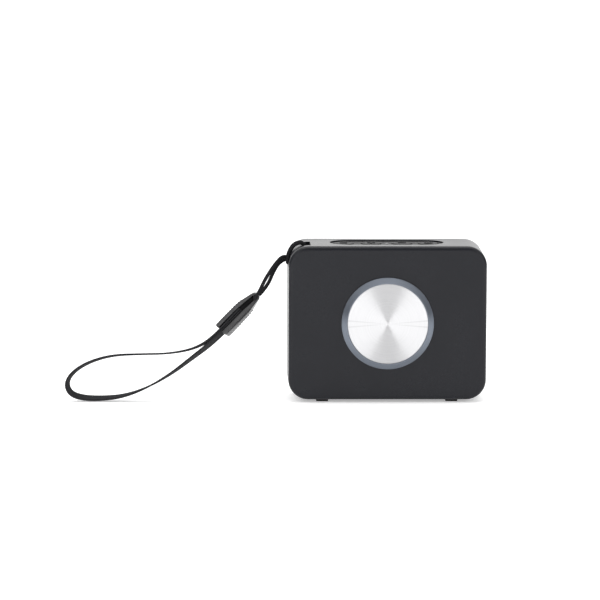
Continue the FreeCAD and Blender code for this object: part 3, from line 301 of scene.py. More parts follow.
def moulded_grain():
    """Fine grain over slow clouds, as moulded or coated surfaces have.
    Tone is the clouds with a little grain in them, and Height is the grain."""
    tree, given, out = new_group("Moulded Grain",
                                 [("Grain Size", 0.0002), ("Cloud Size", 0.01), ("Cloudiness", 0.5)],
                                 ["Tone", "Height"])
    place = object_place(tree)
    grain = noise(tree, place, calc(tree, "DIVIDE", 1.0, given["Grain Size"]), 3.0, 0.6)
    cloud = noise(tree, place, calc(tree, "DIVIDE", 1.0, given["Cloud Size"]), 4.0, 0.55)
    cloud = spread(tree, cloud, 0.3, 0.7)
    speck = spread(tree, grain, 0.35, 0.65)
    tone = add(tree, "ShaderNodeMix", {"Factor": given["Cloudiness"], "A": speck, "B": cloud}).outputs[0]
    tree.links.new(tone, out["Tone"])
    tree.links.new(grain, out["Height"])
    return tree


def box_edges():
    """How near a point is to the edges of a box, from 1 on an edge to 0 at the given width from it.
    The middle one of a point's distances to the three pairs of faces is that to the nearest edge."""
    tree, given, out = new_group("Box Edges", [("Half X", 0.04), ("Half Y", 0.01), ("Half Z", 0.03),
                                               ("Middle Y", 0.0), ("Middle Z", 0.03),
                                               ("Width", 0.002)], ["Edge"])
    place = object_place(tree)
    middle = add(tree, "ShaderNodeCombineXYZ", {"Y": given["Middle Y"], "Z": given["Middle Z"]}).outputs[0]
    half = add(tree, "ShaderNodeCombineXYZ", {"X": given["Half X"], "Y": given["Half Y"],
                                              "Z": given["Half Z"]}).outputs[0]
    away = vector(tree, "ABSOLUTE", vector(tree, "SUBTRACT", place, middle))
    inside = vector(tree, "SUBTRACT", half, away)
    x, y, z = split(tree, inside)
    low = calc(tree, "MINIMUM", x, y)
    high = calc(tree, "MAXIMUM", x, y)
    edge = calc(tree, "MAXIMUM", low, calc(tree, "MINIMUM", high, z))
    edge_unevenness = noise(tree, place, 900.0, 4.0, 0.6)
    reach = calc(tree, "MULTIPLY", given["Width"], calc(tree, "ADD", edge_unevenness, 0.5))
    share = calc(tree, "DIVIDE", edge, reach)
    tree.links.new(calc(tree, "SUBTRACT", 1.0, spread(tree, share, 0.0, 1.0)), out["Edge"])
    return tree


def turned_rings():
    """Marks of a lathe round an axis along Y: noise that changes only with the distance from the axis.
    Height is its fine lines, Tone its wider bands."""
    tree, given, out = new_group("Turned Rings", [("Middle X", 0.0), ("Middle Z", 0.03), ("Line", 0.0002),
                                                  ("Band", 0.0015)], ["Tone", "Height"])
    place = object_place(tree)
    x, _, z = split(tree, place)
    x = calc(tree, "SUBTRACT", x, given["Middle X"])
    z = calc(tree, "SUBTRACT", z, given["Middle Z"])
    reach = calc(tree, "SQRT", calc(tree, "ADD", calc(tree, "MULTIPLY", x, x),
                                    calc(tree, "MULTIPLY", z, z)))
    line, band = [add(tree, "ShaderNodeTexNoise", {
        "W": reach, "Scale": calc(tree, "DIVIDE", 1.0, given[size]), "Detail": detail},
        noise_dimensions="1D").outputs["Fac"] for size, detail in (("Line", 2.0), ("Band", 3.0))]
    tree.links.new(spread(tree, band, 0.3, 0.7), out["Tone"])
    tree.links.new(line, out["Height"])
    return tree


def woven_threads():
    """Over-and-under threads on a UV map: waves across and along it, the upper one at each crossing chosen
    by their signs. Height is the threads' crowns, and Tone is that height times a share that varies from
    thread to thread: painted shade in the gaps between threads and painted highlight on their crowns."""
    tree, given, out = new_group("Woven Threads", [("Across", 10.0), ("Along", 400.0), ("Fuzz", 0.3)],
                                 ["Tone", "Height"])
    uv = add(tree, "ShaderNodeUVMap", uv_map="skin").outputs[0]
    u, v, _ = split(tree, uv)
    turns = [calc(tree, "MULTIPLY", given[name], 2 * math.pi) for name in ("Across", "Along")]
    wave_u, wave_v = [calc(tree, "SINE", calc(tree, "MULTIPLY", *pair)) for pair in zip((u, v), turns)]
    crossing = calc(tree, "MULTIPLY", wave_u, wave_v)
    over = spread(tree, crossing, -0.3, 0.3)
    crown = add(tree, "ShaderNodeMix", {"Factor": over, "A": calc(tree, "ABSOLUTE", wave_u),
                                        "B": calc(tree, "ABSOLUTE", wave_v)}).outputs[0]
    cells = add(tree, "ShaderNodeCombineXYZ", {"X": calc(tree, "MULTIPLY", u, given["Across"]),
                                               "Y": calc(tree, "MULTIPLY", v, given["Along"])}).outputs[0]
    fuzz = noise(tree, cells, 3.0, 3.0, 0.7)
    height = add(tree, "ShaderNodeMix", {"Factor": given["Fuzz"], "A": crown, "B": fuzz}).outputs[0]
    # Tone is the crown height times a thread-to-thread share: painted shade between the threads and painted
    # highlight on their crowns.
    tree.links.new(calc(tree, "MULTIPLY", height,
                        spread(tree, noise(tree, cells, 0.7), 0.2, 0.8, 0.6, 1.0)), out["Tone"])
    tree.links.new(height, out["Height"])
    return tree


def hide_pebble():
    """Leather's pebbles and creases in Object coordinates: rounded cells with stretched noise over them."""
    tree, given, out = new_group("Hide Pebble", [("Pebble", 0.0005), ("Crease", 0.003)], ["Tone", "Height"])
    place = object_place(tree)
    size = calc(tree, "DIVIDE", 1.0, given["Pebble"])
    cells = add(tree, "ShaderNodeTexVoronoi", {"Vector": place, "Scale": size, "Randomness": 0.9},
                feature="SMOOTH_F1").outputs["Distance"]
    crease = noise(tree, place, calc(tree, "DIVIDE", 1.0, given["Crease"]), 5.0, 0.65)
    height = calc(tree, "SUBTRACT", crease, calc(tree, "MULTIPLY", cells, 0.7))
    tree.links.new(spread(tree, crease, 0.3, 0.7), out["Tone"])
    tree.links.new(height, out["Height"])
    return tree


GROUP_MAKERS = {"Moulded Grain": moulded_grain, "Box Edges": box_edges, "Turned Rings": turned_rings,
                "Woven Threads": woven_threads, "Hide Pebble": hide_pebble}


def use_group(tree, name, **values):
    """Places a shared group in a material, making the group the first time it is asked for."""
    group = bpy.data.node_groups.get(name) or GROUP_MAKERS[name]()
    made = tree.nodes.new("ShaderNodeGroup")
    made.node_tree = group
    for key, value in values.items():
        made.inputs[key.replace("_", " ")].default_value = value
    return made.outputs


def rgba(colour, share=1.0):
    """A colour with full alpha, made lighter or darker by a share."""
    return (*[min(1.0, c * share) for c in colour[:3]], 1.0)


def start_material(name):
    """A material with a Principled BSDF on its output; gives its tree and the shader."""
    material = bpy.data.materials.new(name)
    material.use_nodes = True
    tree = material.node_tree
    return material, tree, tree.nodes["Principled BSDF"]


def colour_and_bump(tree, shader, tone, height, colour, shares, rough, depth):
    """Links a tone to the shader's colour, from its dark share to its light one, and to its roughness,
    and a height to its bump, depth in metres."""
    dark, light = [rgba(colour, share) for share in shares]
    tree.links.new(blend_colours(tree, tone, dark, light), shader.inputs["Base Color"])
    low, high = rough
    tree.links.new(spread(tree, tone, 0.0, 1.0, high, low), shader.inputs["Roughness"])
    bump = add(tree, "ShaderNodeBump", {"Height": height, "Strength": 1.0, "Distance": depth})
    tree.links.new(bump.outputs["Normal"], shader.inputs["Normal"])


def plain_finish(name, colour, rough, metallic=0.0, grain=0.2, clouds=8.0, depth=0.02, contrast=0.15,
                 sockets=None):
    """A moulded, cast or coated finish made with the shared grain; its sizes are in millimetres."""
    material, tree, shader = start_material(name)
    tone, height = use_group(tree, "Moulded Grain", Grain_Size=grain * MM, Cloud_Size=clouds * MM,
                             Cloudiness=0.6)
    colour_and_bump(tree, shader, tone, height, colour, (1 - contrast, 1 + contrast), rough, depth * MM)
    shader.inputs["Metallic"].default_value = metallic
    for key, value in (sockets or {}).items():
        shader.inputs[key].default_value = value
    return material


def wear(material, *names):
    """Puts a material in every slot of the named CAD nodes."""
    for name in names:
        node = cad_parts[name]
        for slot in node.material_slots:
            slot.material = material


def settle(obj, material, body, slot_name, *nodes):
    """Gives a new piece its material and body, and has it stand for CAD nodes by hiding them. slot_name is
    not used.
    """
    obj.data.materials.append(material)
    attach(obj, body)
    if nodes:
        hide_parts(*nodes)
    return obj


# ---- What a user may change ----

LINEAR = {"subtype": "COLOR", "size": 3, "min": 0, "max": 1}


class SpeakerSizes(bpy.types.PropertyGroup):
    """Sizes of the pieces that are made here."""

    cord_diameter: bpy.props.FloatProperty(
        name="Cord Diameter", description="Thickness of the braided hitch cord",
        default=0.0015, min=0.0008, max=0.003, unit="LENGTH")
    braid_pitch: bpy.props.FloatProperty(
        name="Braid Pitch", description="Length of cord in which a strand goes once round",
        default=0.0064, min=0.002, max=0.02, unit="LENGTH")
    tape_width: bpy.props.FloatProperty(
        name="Tape Width", description="Width of the wrist tape",
        default=0.006, min=0.003, max=0.015, unit="LENGTH")
    tape_thickness: bpy.props.FloatProperty(
        name="Tape Thickness", description="Thickness of the wrist tape",
        default=0.0010, min=0.0004, max=0.003, unit="LENGTH")
    sleeve_width: bpy.props.FloatProperty(
        name="Sleeve Width", description="Width of the folded sleeve",
        default=0.0064, min=0.003, max=0.015, unit="LENGTH")
    groove_pitch: bpy.props.FloatProperty(
        name="Groove Pitch", description="Distance between the disc's turned grooves",
        default=0.00105, min=0.0002, max=0.003, unit="LENGTH")
    groove_depth: bpy.props.FloatProperty(
        name="Groove Depth", description="Depth of the disc's turned grooves",
        default=0.000004, min=0.0, max=0.0001, precision=6, unit="LENGTH")


class SpeakerColours(bpy.types.PropertyGroup):
    """Colours of the finishes, linear."""

    shell: bpy.props.FloatVectorProperty(
        name="Shell", description="Soft-touch housing", default=(0.0108, 0.0113, 0.0146), **LINEAR)
    keys: bpy.props.FloatVectorProperty(
        name="Keys", description="Rubber keypad and buttons", default=(0.011, 0.011, 0.0125), **LINEAR)
    disc: bpy.props.FloatVectorProperty(
        name="Disc", description="Spun aluminium disc", default=(0.60, 0.60, 0.61), **LINEAR)
    ring: bpy.props.FloatVectorProperty(
        name="Ring", description="Anodised ring round the disc", default=(0.170, 0.190, 0.225), **LINEAR)
    cord: bpy.props.FloatVectorProperty(
        name="Cord", description="Braided cord", default=(0.0160, 0.0160, 0.0175), **LINEAR)
    tape: bpy.props.FloatVectorProperty(
        name="Tape", description="Woven wrist tape", default=(0.026, 0.026, 0.028), **LINEAR)
    sleeve: bpy.props.FloatVectorProperty(
        name="Sleeve", description="Leather sleeve", default=(0.0095, 0.0095, 0.0105), **LINEAR)


class SpeakerStudio(bpy.types.PropertyGroup):
    """Light and floor."""

    floor: bpy.props.FloatVectorProperty(
        name="Floor", description="Floor colour", default=(0.90, 0.90, 0.90), **LINEAR)
    sky: bpy.props.FloatProperty(
        name="Surround", description="Brightness of the white surround behind", default=1.5, min=0.0,
        max=5.0)
    sky_front: bpy.props.FloatProperty(
        name="Surround In Front", description="Brightness of the surround on the camera's side",
        default=0.22, min=0.0, max=5.0)
    sky_side: bpy.props.FloatProperty(
        name="Surround At The Sides",
        description="Share of the surround's brightness that is left at both sides",
        default=0.40, min=0.0, max=1.0)
    floor_glow: bpy.props.FloatProperty(
        name="Floor Glow", description="Light that the floor gives by itself", default=0.39, min=0.0,
        max=2.0)
    side_power: bpy.props.FloatProperty(
        name="Front Lights", description="Power of each front light", default=11.0, min=0.0, max=200.0,
        subtype="POWER")
    top_power: bpy.props.FloatProperty(
        name="Top Light", description="Power of the light overhead", default=9.0, min=0.0, max=200.0,
        subtype="POWER")


# ---- Operators ----

class StageOperator(bpy.types.Operator):
    """Make the floor, the surround, the soft lights and the camera"""

    bl_idname = "speaker.stage"
    bl_label = "Studio and Camera"

    place = (-0.095263, -1.920394, 0.299764)
    pitch, yaw, roll = (math.radians(a) for a in (7.6248, 1.7319, 0.2478))
    lens = 270.0
    lean = math.radians(28)
    floor_radius = 4.0
    floor_sides = 96

    def camera(self):
        """A long lens: it looks down by pitch, is turned towards +X by yaw, and rolled."""
        p, y, r = self.pitch, self.yaw, self.roll
        forward = np.array((math.sin(y) * math.cos(p), math.cos(y) * math.cos(p), -math.sin(p)))
        right = np.array((math.cos(y), -math.sin(y), 0.0))
        up = np.cross(right, forward)
        right, up = math.cos(r) * right + math.sin(r) * up, -math.sin(r) * right + math.cos(r) * up
        data = bpy.data.cameras.new("camera")
        data.lens = self.lens
        data.sensor_width = 36.0
        obj = bpy.data.objects.new("camera", data)
        bpy.context.scene.collection.objects.link(obj)
        turn = np.eye(4)
        turn[:3, :3] = np.stack([right, up, -forward], axis=1)
        turn[:3, 3] = self.place
        obj.matrix_world = Matrix(turn.tolist())
        bpy.context.scene.camera = obj

    def soft_light(self, name, place, ahead, size, power, lean=0.0):
        """A rectangular soft light that faces a direction, leaned about it."""
        data = bpy.data.lights.new(name, "AREA")
        data.shape = "RECTANGLE"
        data.size, data.size_y = size
        data.energy = power
        obj = bpy.data.objects.new(name, data)
        bpy.context.scene.collection.objects.link(obj)
        ahead = unit(np.array(ahead, float))
        right = unit(np.cross(ahead, (0, 0, 1) if abs(ahead[2]) < 0.9 else (0, 1, 0)))
        up = np.cross(right, ahead)
        c, s = math.cos(lean), math.sin(lean)
        right, up = c * right + s * up, c * up - s * right
        turn = np.eye(4)
        turn[:3, :3] = np.stack([right, up, -ahead], axis=1)
        turn[:3, 3] = place
        obj.matrix_world = Matrix(turn.tolist())

    def execute(self, context):
        studio = context.scene.speaker_studio
        scene = context.scene
        scene.view_settings.view_transform = "Standard"
        world = bpy.data.worlds.new("surround")
        world.use_nodes = True
        tree = world.node_tree
        back = tree.nodes["Background"]
        way = split(tree, add(tree, "ShaderNodeTexCoord").outputs["Generated"])
        back.inputs["Color"].default_value = (1, 1, 1, 1)
        dim, bright = studio.sky_front, studio.sky
        ahead = calc(tree, "ADD", way[1], calc(tree, "MULTIPLY", calc(tree, "MAXIMUM", way[2], 0.0), 0.5))
        ahead = spread(tree, ahead, -0.45, 0.45, dim, bright)
        aside = spread(tree, calc(tree, "ABSOLUTE", way[0]), 0.45, 0.95, 1.0, studio.sky_side)
        tree.links.new(calc(tree, "MULTIPLY", ahead, aside), back.inputs["Strength"])
        scene.world = world

        a = np.linspace(0, 2 * math.pi, self.floor_sides, endpoint=False)
        rim = np.stack([self.floor_radius * np.cos(a), self.floor_radius * np.sin(a), np.zeros_like(a)], -1)
        mesh = bpy.data.meshes.new("floor")
        mesh.from_pydata(rim.tolist(), [], [list(range(self.floor_sides))])
        floor = bpy.data.objects.new("floor", mesh)
        scene.collection.objects.link(floor)
        material, tree, shader = start_material("pale_floor")
        tone = noise(tree, object_place(tree), 3.0)
        pale = blend_colours(tree, tone, rgba(studio.floor, 0.98), rgba(studio.floor, 1.02))
        tree.links.new(pale, shader.inputs["Base Color"])
        shader.inputs["Roughness"].default_value = 0.9
        shader.inputs["Specular IOR Level"].default_value = 0.2
        shader.inputs["Emission Color"].default_value = (1, 1, 1, 1)
        shader.inputs["Emission Strength"].default_value = studio.floor_glow
        mesh.materials.append(material)

        for side in (-1, 1):
            self.soft_light(f"front_light_{side + 2}", (0.05 + side * 1.0, -1.0, 0.383), (0, 1, 0),
                            (1.3, 1.8),
                            studio.side_power, lean=-side * self.lean)
        self.soft_light("top_light", (0, 0.1, 1.9), (0, -0.1, -1.8), (1.6, 1.2), studio.top_power)
        self.camera()
        return {"FINISHED"}


class CordOperator(bpy.types.Operator):
    """Make the braided cord that is hitched round the corner bar"""

    bl_idname = "speaker.cord"
    bl_label = "Hitch Cord"

    step = 0.00011
    carriers = 8
    relief = 0.00016

    def material(self, colour):
        """Dark braid yarn, with painted highlight on the crowns of its strands and painted shade between
        them, varied a little from strand to strand.
        """
        material, tree, shader = start_material("cord_braid")
        tone, height = use_group(tree, "Woven Threads", Across=48.0, Along=2600.0, Fuzz=0.5)
        colour_and_bump(tree, shader, tone, height, colour, (0.45, 1.9), (0.75, 0.95), 0.00006)
        shader.inputs["Specular IOR Level"].default_value = 0.06
        return material

    def braid(self, angle, along, carriers, pitch):
        """Height of a braid from 0 to 1: two families of helices, A = n a / 2 + k s and B = n a / 2 - k s.
        Each diamond between their crossings is one strand's crown, longer along the family that is on top,
        and the family on top changes from diamond to diamond like a chessboard."""
        turn = math.pi * carriers * along / pitch
        first = carriers * angle / 2 + turn
        second = carriers * angle / 2 - turn
        top = (np.floor(first / math.pi) + np.floor(second / math.pi)) % 2
        a, b = np.abs(np.sin(first)), np.abs(np.sin(second))
        return np.where(top > 0, a ** 0.8 * b ** 0.3, a ** 0.3 * b ** 0.8)

    def execute(self, context):
        sizes = context.scene.speaker_sizes
        colours = context.scene.speaker_colours
        line = spline_points(CORD_ROUTE, self.step)
        along = lengths_along(line)
        side, up = carried_frame(line)
        angle = np.linspace(0, 2 * math.pi, 40, endpoint=False)
        high = self.braid(angle[None, :], along[:, None], self.carriers, sizes.braid_pitch)
        reach = sizes.cord_diameter / 2 + self.relief * (high - 0.5)
        ring = side[:, None] * np.cos(angle)[None, :, None] + up[:, None] * np.sin(angle)[None, :, None]
        cord = skin("hitch_cord", line[:, None] + ring * reach[..., None], 1.0, along)
        settle(cord, self.material(colours.cord), "housing", "cord_braid", "strap_cord")
        return {"FINISHED"}


class TapeOperator(bpy.types.Operator):
    """Make the flat woven tape that goes round the wrist"""

    bl_idname = "speaker.tape"
    bl_label = "Wrist Tape"

    def material(self, colour):
        """Nylon tape: fine ribs across it, with painted highlight on the ribs' crowns and painted shade
        between them.
        """
        material, tree, shader = start_material("webbing_nylon")
        tone, height = use_group(tree, "Woven Threads", Across=30.0, Along=1300.0, Fuzz=0.25)
        colour_and_bump(tree, shader, tone, height, colour, (0.5, 1.7), (0.75, 0.95), 0.00008)
        shader.inputs["Specular IOR Level"].default_value = 0.06
        return material

    def execute(self, context):
        sizes = context.scene.speaker_sizes
        colours = context.scene.speaker_colours
        line = spline_points(TAPE_ROUTE, 0.0005)
        along = lengths_along(line)
        run = unit(np.gradient(line, axis=0))
        depth = np.array((0.0, 1.0, 0.0))
        inward = np.cross(depth, run)
        turn = np.radians(smooth_between(TAPE_TURN, along / along[-1]))[:, None]
        across = np.cos(turn) * depth + np.sin(turn) * inward
        up = np.cross(across, run)
        section = rounded_section(sizes.tape_width / 2, sizes.tape_thickness / 2, 44)
        share = np.abs(section[:, 0]) / (sizes.tape_width / 2)
        # The woven edges are a little thicker than the field between them.
        section[:, 1] *= 0.80 + 0.20 * np.exp(-((share - 0.86) / 0.10) ** 2)
        rings = line[:, None] + across[:, None] * section[None, :, :1] + up[:, None] * section[None, :, 1:]
        tape = skin("wrist_tape", rings, 1.0, along)
        settle(tape, self.material(colours.tape), "housing", "webbing_nylon", "strap_webbing")
        return {"FINISHED"}


class SleeveOperator(bpy.types.Operator):
    """Make the folded leather sleeve that joins the tape to the cord, its stitches and its filling"""

    bl_idname = "speaker.sleeve"
    bl_label = "Leather Sleeve"

    row = 0.72  # of half the width
    pull = 0.00016
    stitch_rows = (0.0072, 0.0208)
    stitch_pitch = 0.0013
    stitch_half = 0.00042
    stitch_lift = 0.00110  # from the flap's middle
    stitch_thick, stitch_wide = 0.00011, 0.00013

    def material(self, colour):
        """Glossy black leather: small pebbles, creases, and a thin coat that catches the light."""
        material, tree, shader = start_material("sleeve_leather")
        tone, height = use_group(tree, "Hide Pebble", Pebble=0.00042, Crease=0.0022)
        colour_and_bump(tree, shader, tone, height, colour, (0.6, 1.5), (0.26, 0.42), 0.00007)
        shader.inputs["Coat Weight"].default_value = 0.4
        shader.inputs["Coat Roughness"].default_value = 0.12
        return material

    def thread(self, colour):
        """Waxed thread, a little lighter than the leather."""
        return plain_finish("stitch_thread", rgba(colour, 2.2), (0.45, 0.6), 0.0, 0.08, 0.6, 0.02, 0.35)

    def filling(self, colour):
        """Folded tape, painted darker than the tape: painted shade for the gap between the flaps, where
        little light reaches it.
        """
        return plain_finish("folded_tape", rgba(colour, 0.3), (0.85, 0.95), 0.0, 0.25, 1.5, 0.05, 0.3,
                            {"Specular IOR Level": 0.05})

    def placed(self, low, offset, across):
        """Points of the sleeve in the row frame. Low is the distance from the nose down its axis, offset is
        square to the axis in the hanging plane, and across is along the depth; offset and across turn
        about the axis by an angle that grows with low."""
        length = np.linalg.norm(SLEEVE_END - SLEEVE_NOSE)
        axis = (SLEEVE_END - SLEEVE_NOSE) / length
        depth = np.array((0.0, 1.0, 0.0))
        inward = np.cross(depth, axis)
        share = np.clip(low / length, 0, 1)
        turn = np.radians(smooth_between(SLEEVE_TURN, share.ravel())).reshape(low.shape)
        o = offset * np.cos(turn) + across * np.sin(turn)
        w = across * np.cos(turn) - offset * np.sin(turn)
        return SLEEVE_NOSE + low[..., None] * axis + o[..., None] * inward + w[..., None] * depth

    def execute(self, context):
        sizes = context.scene.speaker_sizes
        colours = context.scene.speaker_colours
        fold = FOLD_SIDE + [(low, -offset) for low, offset in FOLD_SIDE[::-1]]
        line = spline_points([(low, offset, 0.0) for low, offset in fold], 0.0003)
        run = unit(np.gradient(line, axis=0))
        out = np.stack([run[:, 1], -run[:, 0]], -1)
        low = line[:, 0]
        length = low.max()
        half_thick = np.interp(low, [0.0, 0.004, 0.008, length], [0.00070, 0.00085, 0.00118, 0.00122])
        ease = np.clip(np.minimum(np.arange(len(low)), np.arange(len(low))[::-1]) / 2.5, 0.0, 1.0)
        half_thick = half_thick * np.sqrt(1 - (1 - ease) ** 2 * 0.7)
        half_width = sizes.sleeve_width / 2 * (1 - 0.06 * np.exp(-(low / 0.003) ** 2))
        section = rounded_section(1.0, 1.0, 48)
        thick = section[None, :, 1] * half_thick[:, None]
        across = section[None, :, 0] * half_width[:, None]
        # The faces are a little crowned, and dip where the stitch rows pull them in.
        row = np.exp(-((np.abs(section[:, 0]) - self.row) / 0.07) ** 2) * (np.abs(section[:, 1]) > 0.5)
        pull = row[None, :] * np.clip((low[:, None] - 0.006) / 0.001, 0, 1) * self.pull
        thick = thick - np.sign(section[None, :, 1]) * pull
        rings = self.placed(low[:, None] + out[:, None, 0] * thick,
                            line[:, None, 1] + out[:, None, 1] * thick, across)
        wrap = skin("sleeve_wrap", rings, 1.0, lengths_along(line))
        settle(wrap, self.material(colours.sleeve), "housing", "sleeve_leather", "strap_sleeve")

        # The tape's sewn end, which fills the sleeve between its flaps behind the cord.
        low_core = np.linspace(0.0028, 0.0135, 26)
        thick_core = np.interp(low_core, *zip(*sorted(FOLD_SIDE))) - 0.0006
        thick_core = thick_core * np.sqrt(np.clip((low_core - 0.0026) / 0.0006, 0, 1))
        core = self.placed(low_core[:, None] + 0 * section[None, :, 0],
                           thick_core[:, None] * section[None, :, 1],
                           section[None, :, 0] * (sizes.sleeve_width / 2 - 0.0006) + 0 * low_core[:, None])
        filling = skin("sleeve_filling", core, 1.0, low_core)
        settle(filling, self.filling(colours.tape), "housing", "sleeve_leather")

        # Stitches: small lozenges in two rows down the outer face of each flap.
        lows = np.arange(*self.stitch_rows, self.stitch_pitch)
        spots = np.array([(at, side, row) for side in (-1, 1) for row in (-self.row, self.row)
                          for at in lows])
        s = np.linspace(0, 1, 7)
        a = np.linspace(0, 2 * math.pi, 10, endpoint=False)
        body = np.sqrt(np.clip(1 - (2 * s - 1) ** 2, 0.02, 1))[None, :, None]
        centre = (np.interp(spots[:, 0], *zip(*sorted(FOLD_SIDE))) + self.stitch_lift)[:, None, None]
        low_s = spots[:, 0, None, None] + (s[None, :, None] - 0.5) * 2 * self.stitch_half + 0 * a
        offset_s = spots[:, 1, None, None] * (centre + self.stitch_thick * body * np.sin(a))
        across_s = spots[:, 2, None, None] * sizes.sleeve_width / 2 + self.stitch_wide * body * np.cos(a)
        stitches = skins("sleeve_stitches", self.placed(low_s, offset_s, across_s + 0 * low_s))
        settle(stitches, self.thread(colours.sleeve), "housing", "sleeve_leather")
        return {"FINISHED"}


class DiscOperator(bpy.types.Operator):
    """Make the spun aluminium disc with its turned grooves, and give its ring an anodised finish"""

    bl_idname = "speaker.disc"
    bl_label = "Spun Disc and Ring"

    painted_streak_slope = 0.08
    painted_streak_width = 0.035
    painted_streak_tone = 0.14
    lap = 0.00019
    lip = 0.00012

    def disc_material(self, colour, middle_z):
        """Aluminium whose fine turned lines run round the disc, so its shine spreads along the radii.
        A streak along each radius that has the streak's slope is painted a little darker: painted shade in
        the disc's reflection."""
        material, tree, shader = start_material("spun_aluminium")
        tone, height = use_group(tree, "Turned Rings", Middle_Z=middle_z, Line=0.00012, Band=0.0006)
        colour_and_bump(tree, shader, tone, height, colour, (0.985, 1.015), (0.28, 0.30), 0.000003)
        x, _, z = split(tree, object_place(tree))
        # Painted shade: a dark streak along the radii that rise at the streak's slope, painted into the
        # colour in place of a dark streak in the reflection.
        rise = calc(tree, "ABSOLUTE", calc(tree, "SUBTRACT", z, middle_z))
        steep = calc(tree, "DIVIDE", rise, calc(tree, "MAXIMUM", calc(tree, "ABSOLUTE", x), 0.0001))
        off = calc(tree, "ABSOLUTE", calc(tree, "SUBTRACT", steep, self.painted_streak_slope))
        darker = spread(tree, off, 0.0, self.painted_streak_width, self.painted_streak_tone, 0.0)
        streak = calc(tree, "SUBTRACT", 1.0, darker)
        mixed = shader.inputs["Base Color"].links[0].from_socket
        tree.links.new(vector(tree, "MULTIPLY", mixed, streak), shader.inputs["Base Color"])
        shader.inputs["Metallic"].default_value = 1.0
        shader.inputs["Anisotropic"].default_value = 0.96
        shader.inputs["Anisotropic Rotation"].default_value = 0.25
        tangent = add(tree, "ShaderNodeTangent", direction_type="UV_MAP", uv_map="skin")
        tree.links.new(tangent.outputs[0], shader.inputs["Tangent"])
        return material

    def ring_material(self, colour, middle_z):
        """Satin anodised aluminium in blue-grey, with faint lathe lines."""
        material, tree, shader = start_material("ring_anodised")
        tone, height = use_group(tree, "Turned Rings", Middle_Z=middle_z, Line=0.00015, Band=0.0004)
        colour_and_bump(tree, shader, tone, height, colour, (0.93, 1.07), (0.28, 0.36), 0.000006)
        shader.inputs["Metallic"].default_value = 0.85
        return material

    def execute(self, context):
        sizes = context.scene.speaker_sizes
        colours = context.scene.speaker_colours
        low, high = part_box("diaphragm_disc")
        middle_x, middle_z = (low.x + high.x) / 2, (low.z + high.z) / 2
        radius = (high.z - low.z) / 2 + self.lap
        front, back, lip = low.y, high.y, self.lip
        r = np.arange(radius - lip, 0.00004, -0.0001)
        groove = sizes.groove_depth * (1 - np.cos(2 * math.pi * r / sizes.groove_pitch))
        face = front + 0.00001 + groove
        bend = np.linspace(0, math.pi / 2, 6)[:-1]
        reach = np.r_[0.00005, radius * 0.5, radius - lip, radius, radius - lip + lip * np.cos(bend), r]
        depth = np.r_[back, back, back, back - lip, front + lip - lip * np.sin(bend), face]
        around = 160
        angle = np.linspace(0, 2 * math.pi, around, endpoint=False)
        rings = np.stack([middle_x + reach[:, None] * np.cos(angle), depth[:, None] + 0 * angle,
                          middle_z + reach[:, None] * np.sin(angle)], -1)
        disc = skin("spun_disc", rings, 2 * math.pi, reach)
        settle(disc, self.disc_material(colours.disc, middle_z), "diaphragm", "spun_aluminium",
               "diaphragm_disc")
        wear(self.ring_material(colours.ring, middle_z), "bevel_ring")
        return {"FINISHED"}


class ShellOperator(bpy.types.Operator):
    """Give the housing, the rear cover and the port door their soft-touch finish"""

    bl_idname = "speaker.shell"
    bl_label = "Soft-Touch Shell"

    def execute(self, context):
        colours = context.scene.speaker_colours
        low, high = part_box("front_housing")
        _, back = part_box("rear_cover")
        material, tree, shader = start_material("soft_touch_shell")
        tone, height = use_group(tree, "Moulded Grain", Grain_Size=0.00016, Cloud_Size=0.018,
                                 Cloudiness=0.75)
        edge = use_group(tree, "Box Edges", Half_X=(high.x - low.x) / 2, Half_Y=(back.y - low.y) / 2,
                         Half_Z=(high.z - low.z) / 2, Middle_Y=(back.y + low.y) / 2,
                         Middle_Z=(high.z + low.z) / 2, Width=0.0016)[0]
        skin_colour = blend_colours(tree, tone, rgba(colours.shell, 0.94), rgba(colours.shell, 1.06))
        # Painted highlight: the box's edges are painted lighter, a painted sheen where the rounded edges
        # catch light; below, they are also made a little less rough.
        painted_edge_sheen = blend_colours(tree, calc(tree, "MULTIPLY", edge, 0.3), skin_colour, rgba(colours.shell, 1.4))
        tree.links.new(painted_edge_sheen, shader.inputs["Base Color"])
        rough = spread(tree, tone, 0.0, 1.0, 0.31, 0.27)
        rough = calc(tree, "SUBTRACT", rough, calc(tree, "MULTIPLY", edge, 0.05))
        tree.links.new(rough, shader.inputs["Roughness"])
        bump = add(tree, "ShaderNodeBump", {"Height": height, "Strength": 0.6, "Distance": 0.000006})
        tree.links.new(bump.outputs["Normal"], shader.inputs["Normal"])
        shader.inputs["Specular IOR Level"].default_value = 0.22
        wear(material, "front_housing", "rear_cover", "port_door")
        return {"FINISHED"}


class KeypadOperator(bpy.types.Operator):
    """Give the keypad, the buttons, the feet, the seal, the plug and the light their finishes"""

    bl_idname = "speaker.keypad"
    bl_label = "Keypad and Rubber Parts"

    def execute(self, context):
        keys = context.scene.speaker_colours.keys
        key_rubber = plain_finish("key_rubber", keys, (0.50, 0.62), 0.0, 0.12, 5.0, 0.010, 0.12,
                                  {"Specular IOR Level": 0.3})
        foot_rubber = plain_finish("foot_rubber", rgba(keys, 0.35), (0.7, 0.85), 0.0, 0.3, 4.0, 0.02, 0.2,
                                   {"Specular IOR Level": 0.08})
        light = plain_finish("light_clear", (0.05, 0.05, 0.055), (0.2, 0.3), 0.0, 0.5, 3.0, 0.004, 0.10,
                             {"Transmission Weight": 0.3, "IOR": 1.49})
        wear(key_rubber, "keypad_mat", "button_play", "button_plus", "button_minus", "button_power")
        feet = [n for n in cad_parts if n.startswith("foot_")]
        wear(foot_rubber, "cover_seal", "driver_gasket", "port_plug", *feet)
        wear(light, "light_pipe", "status_led")
        return {"FINISHED"}


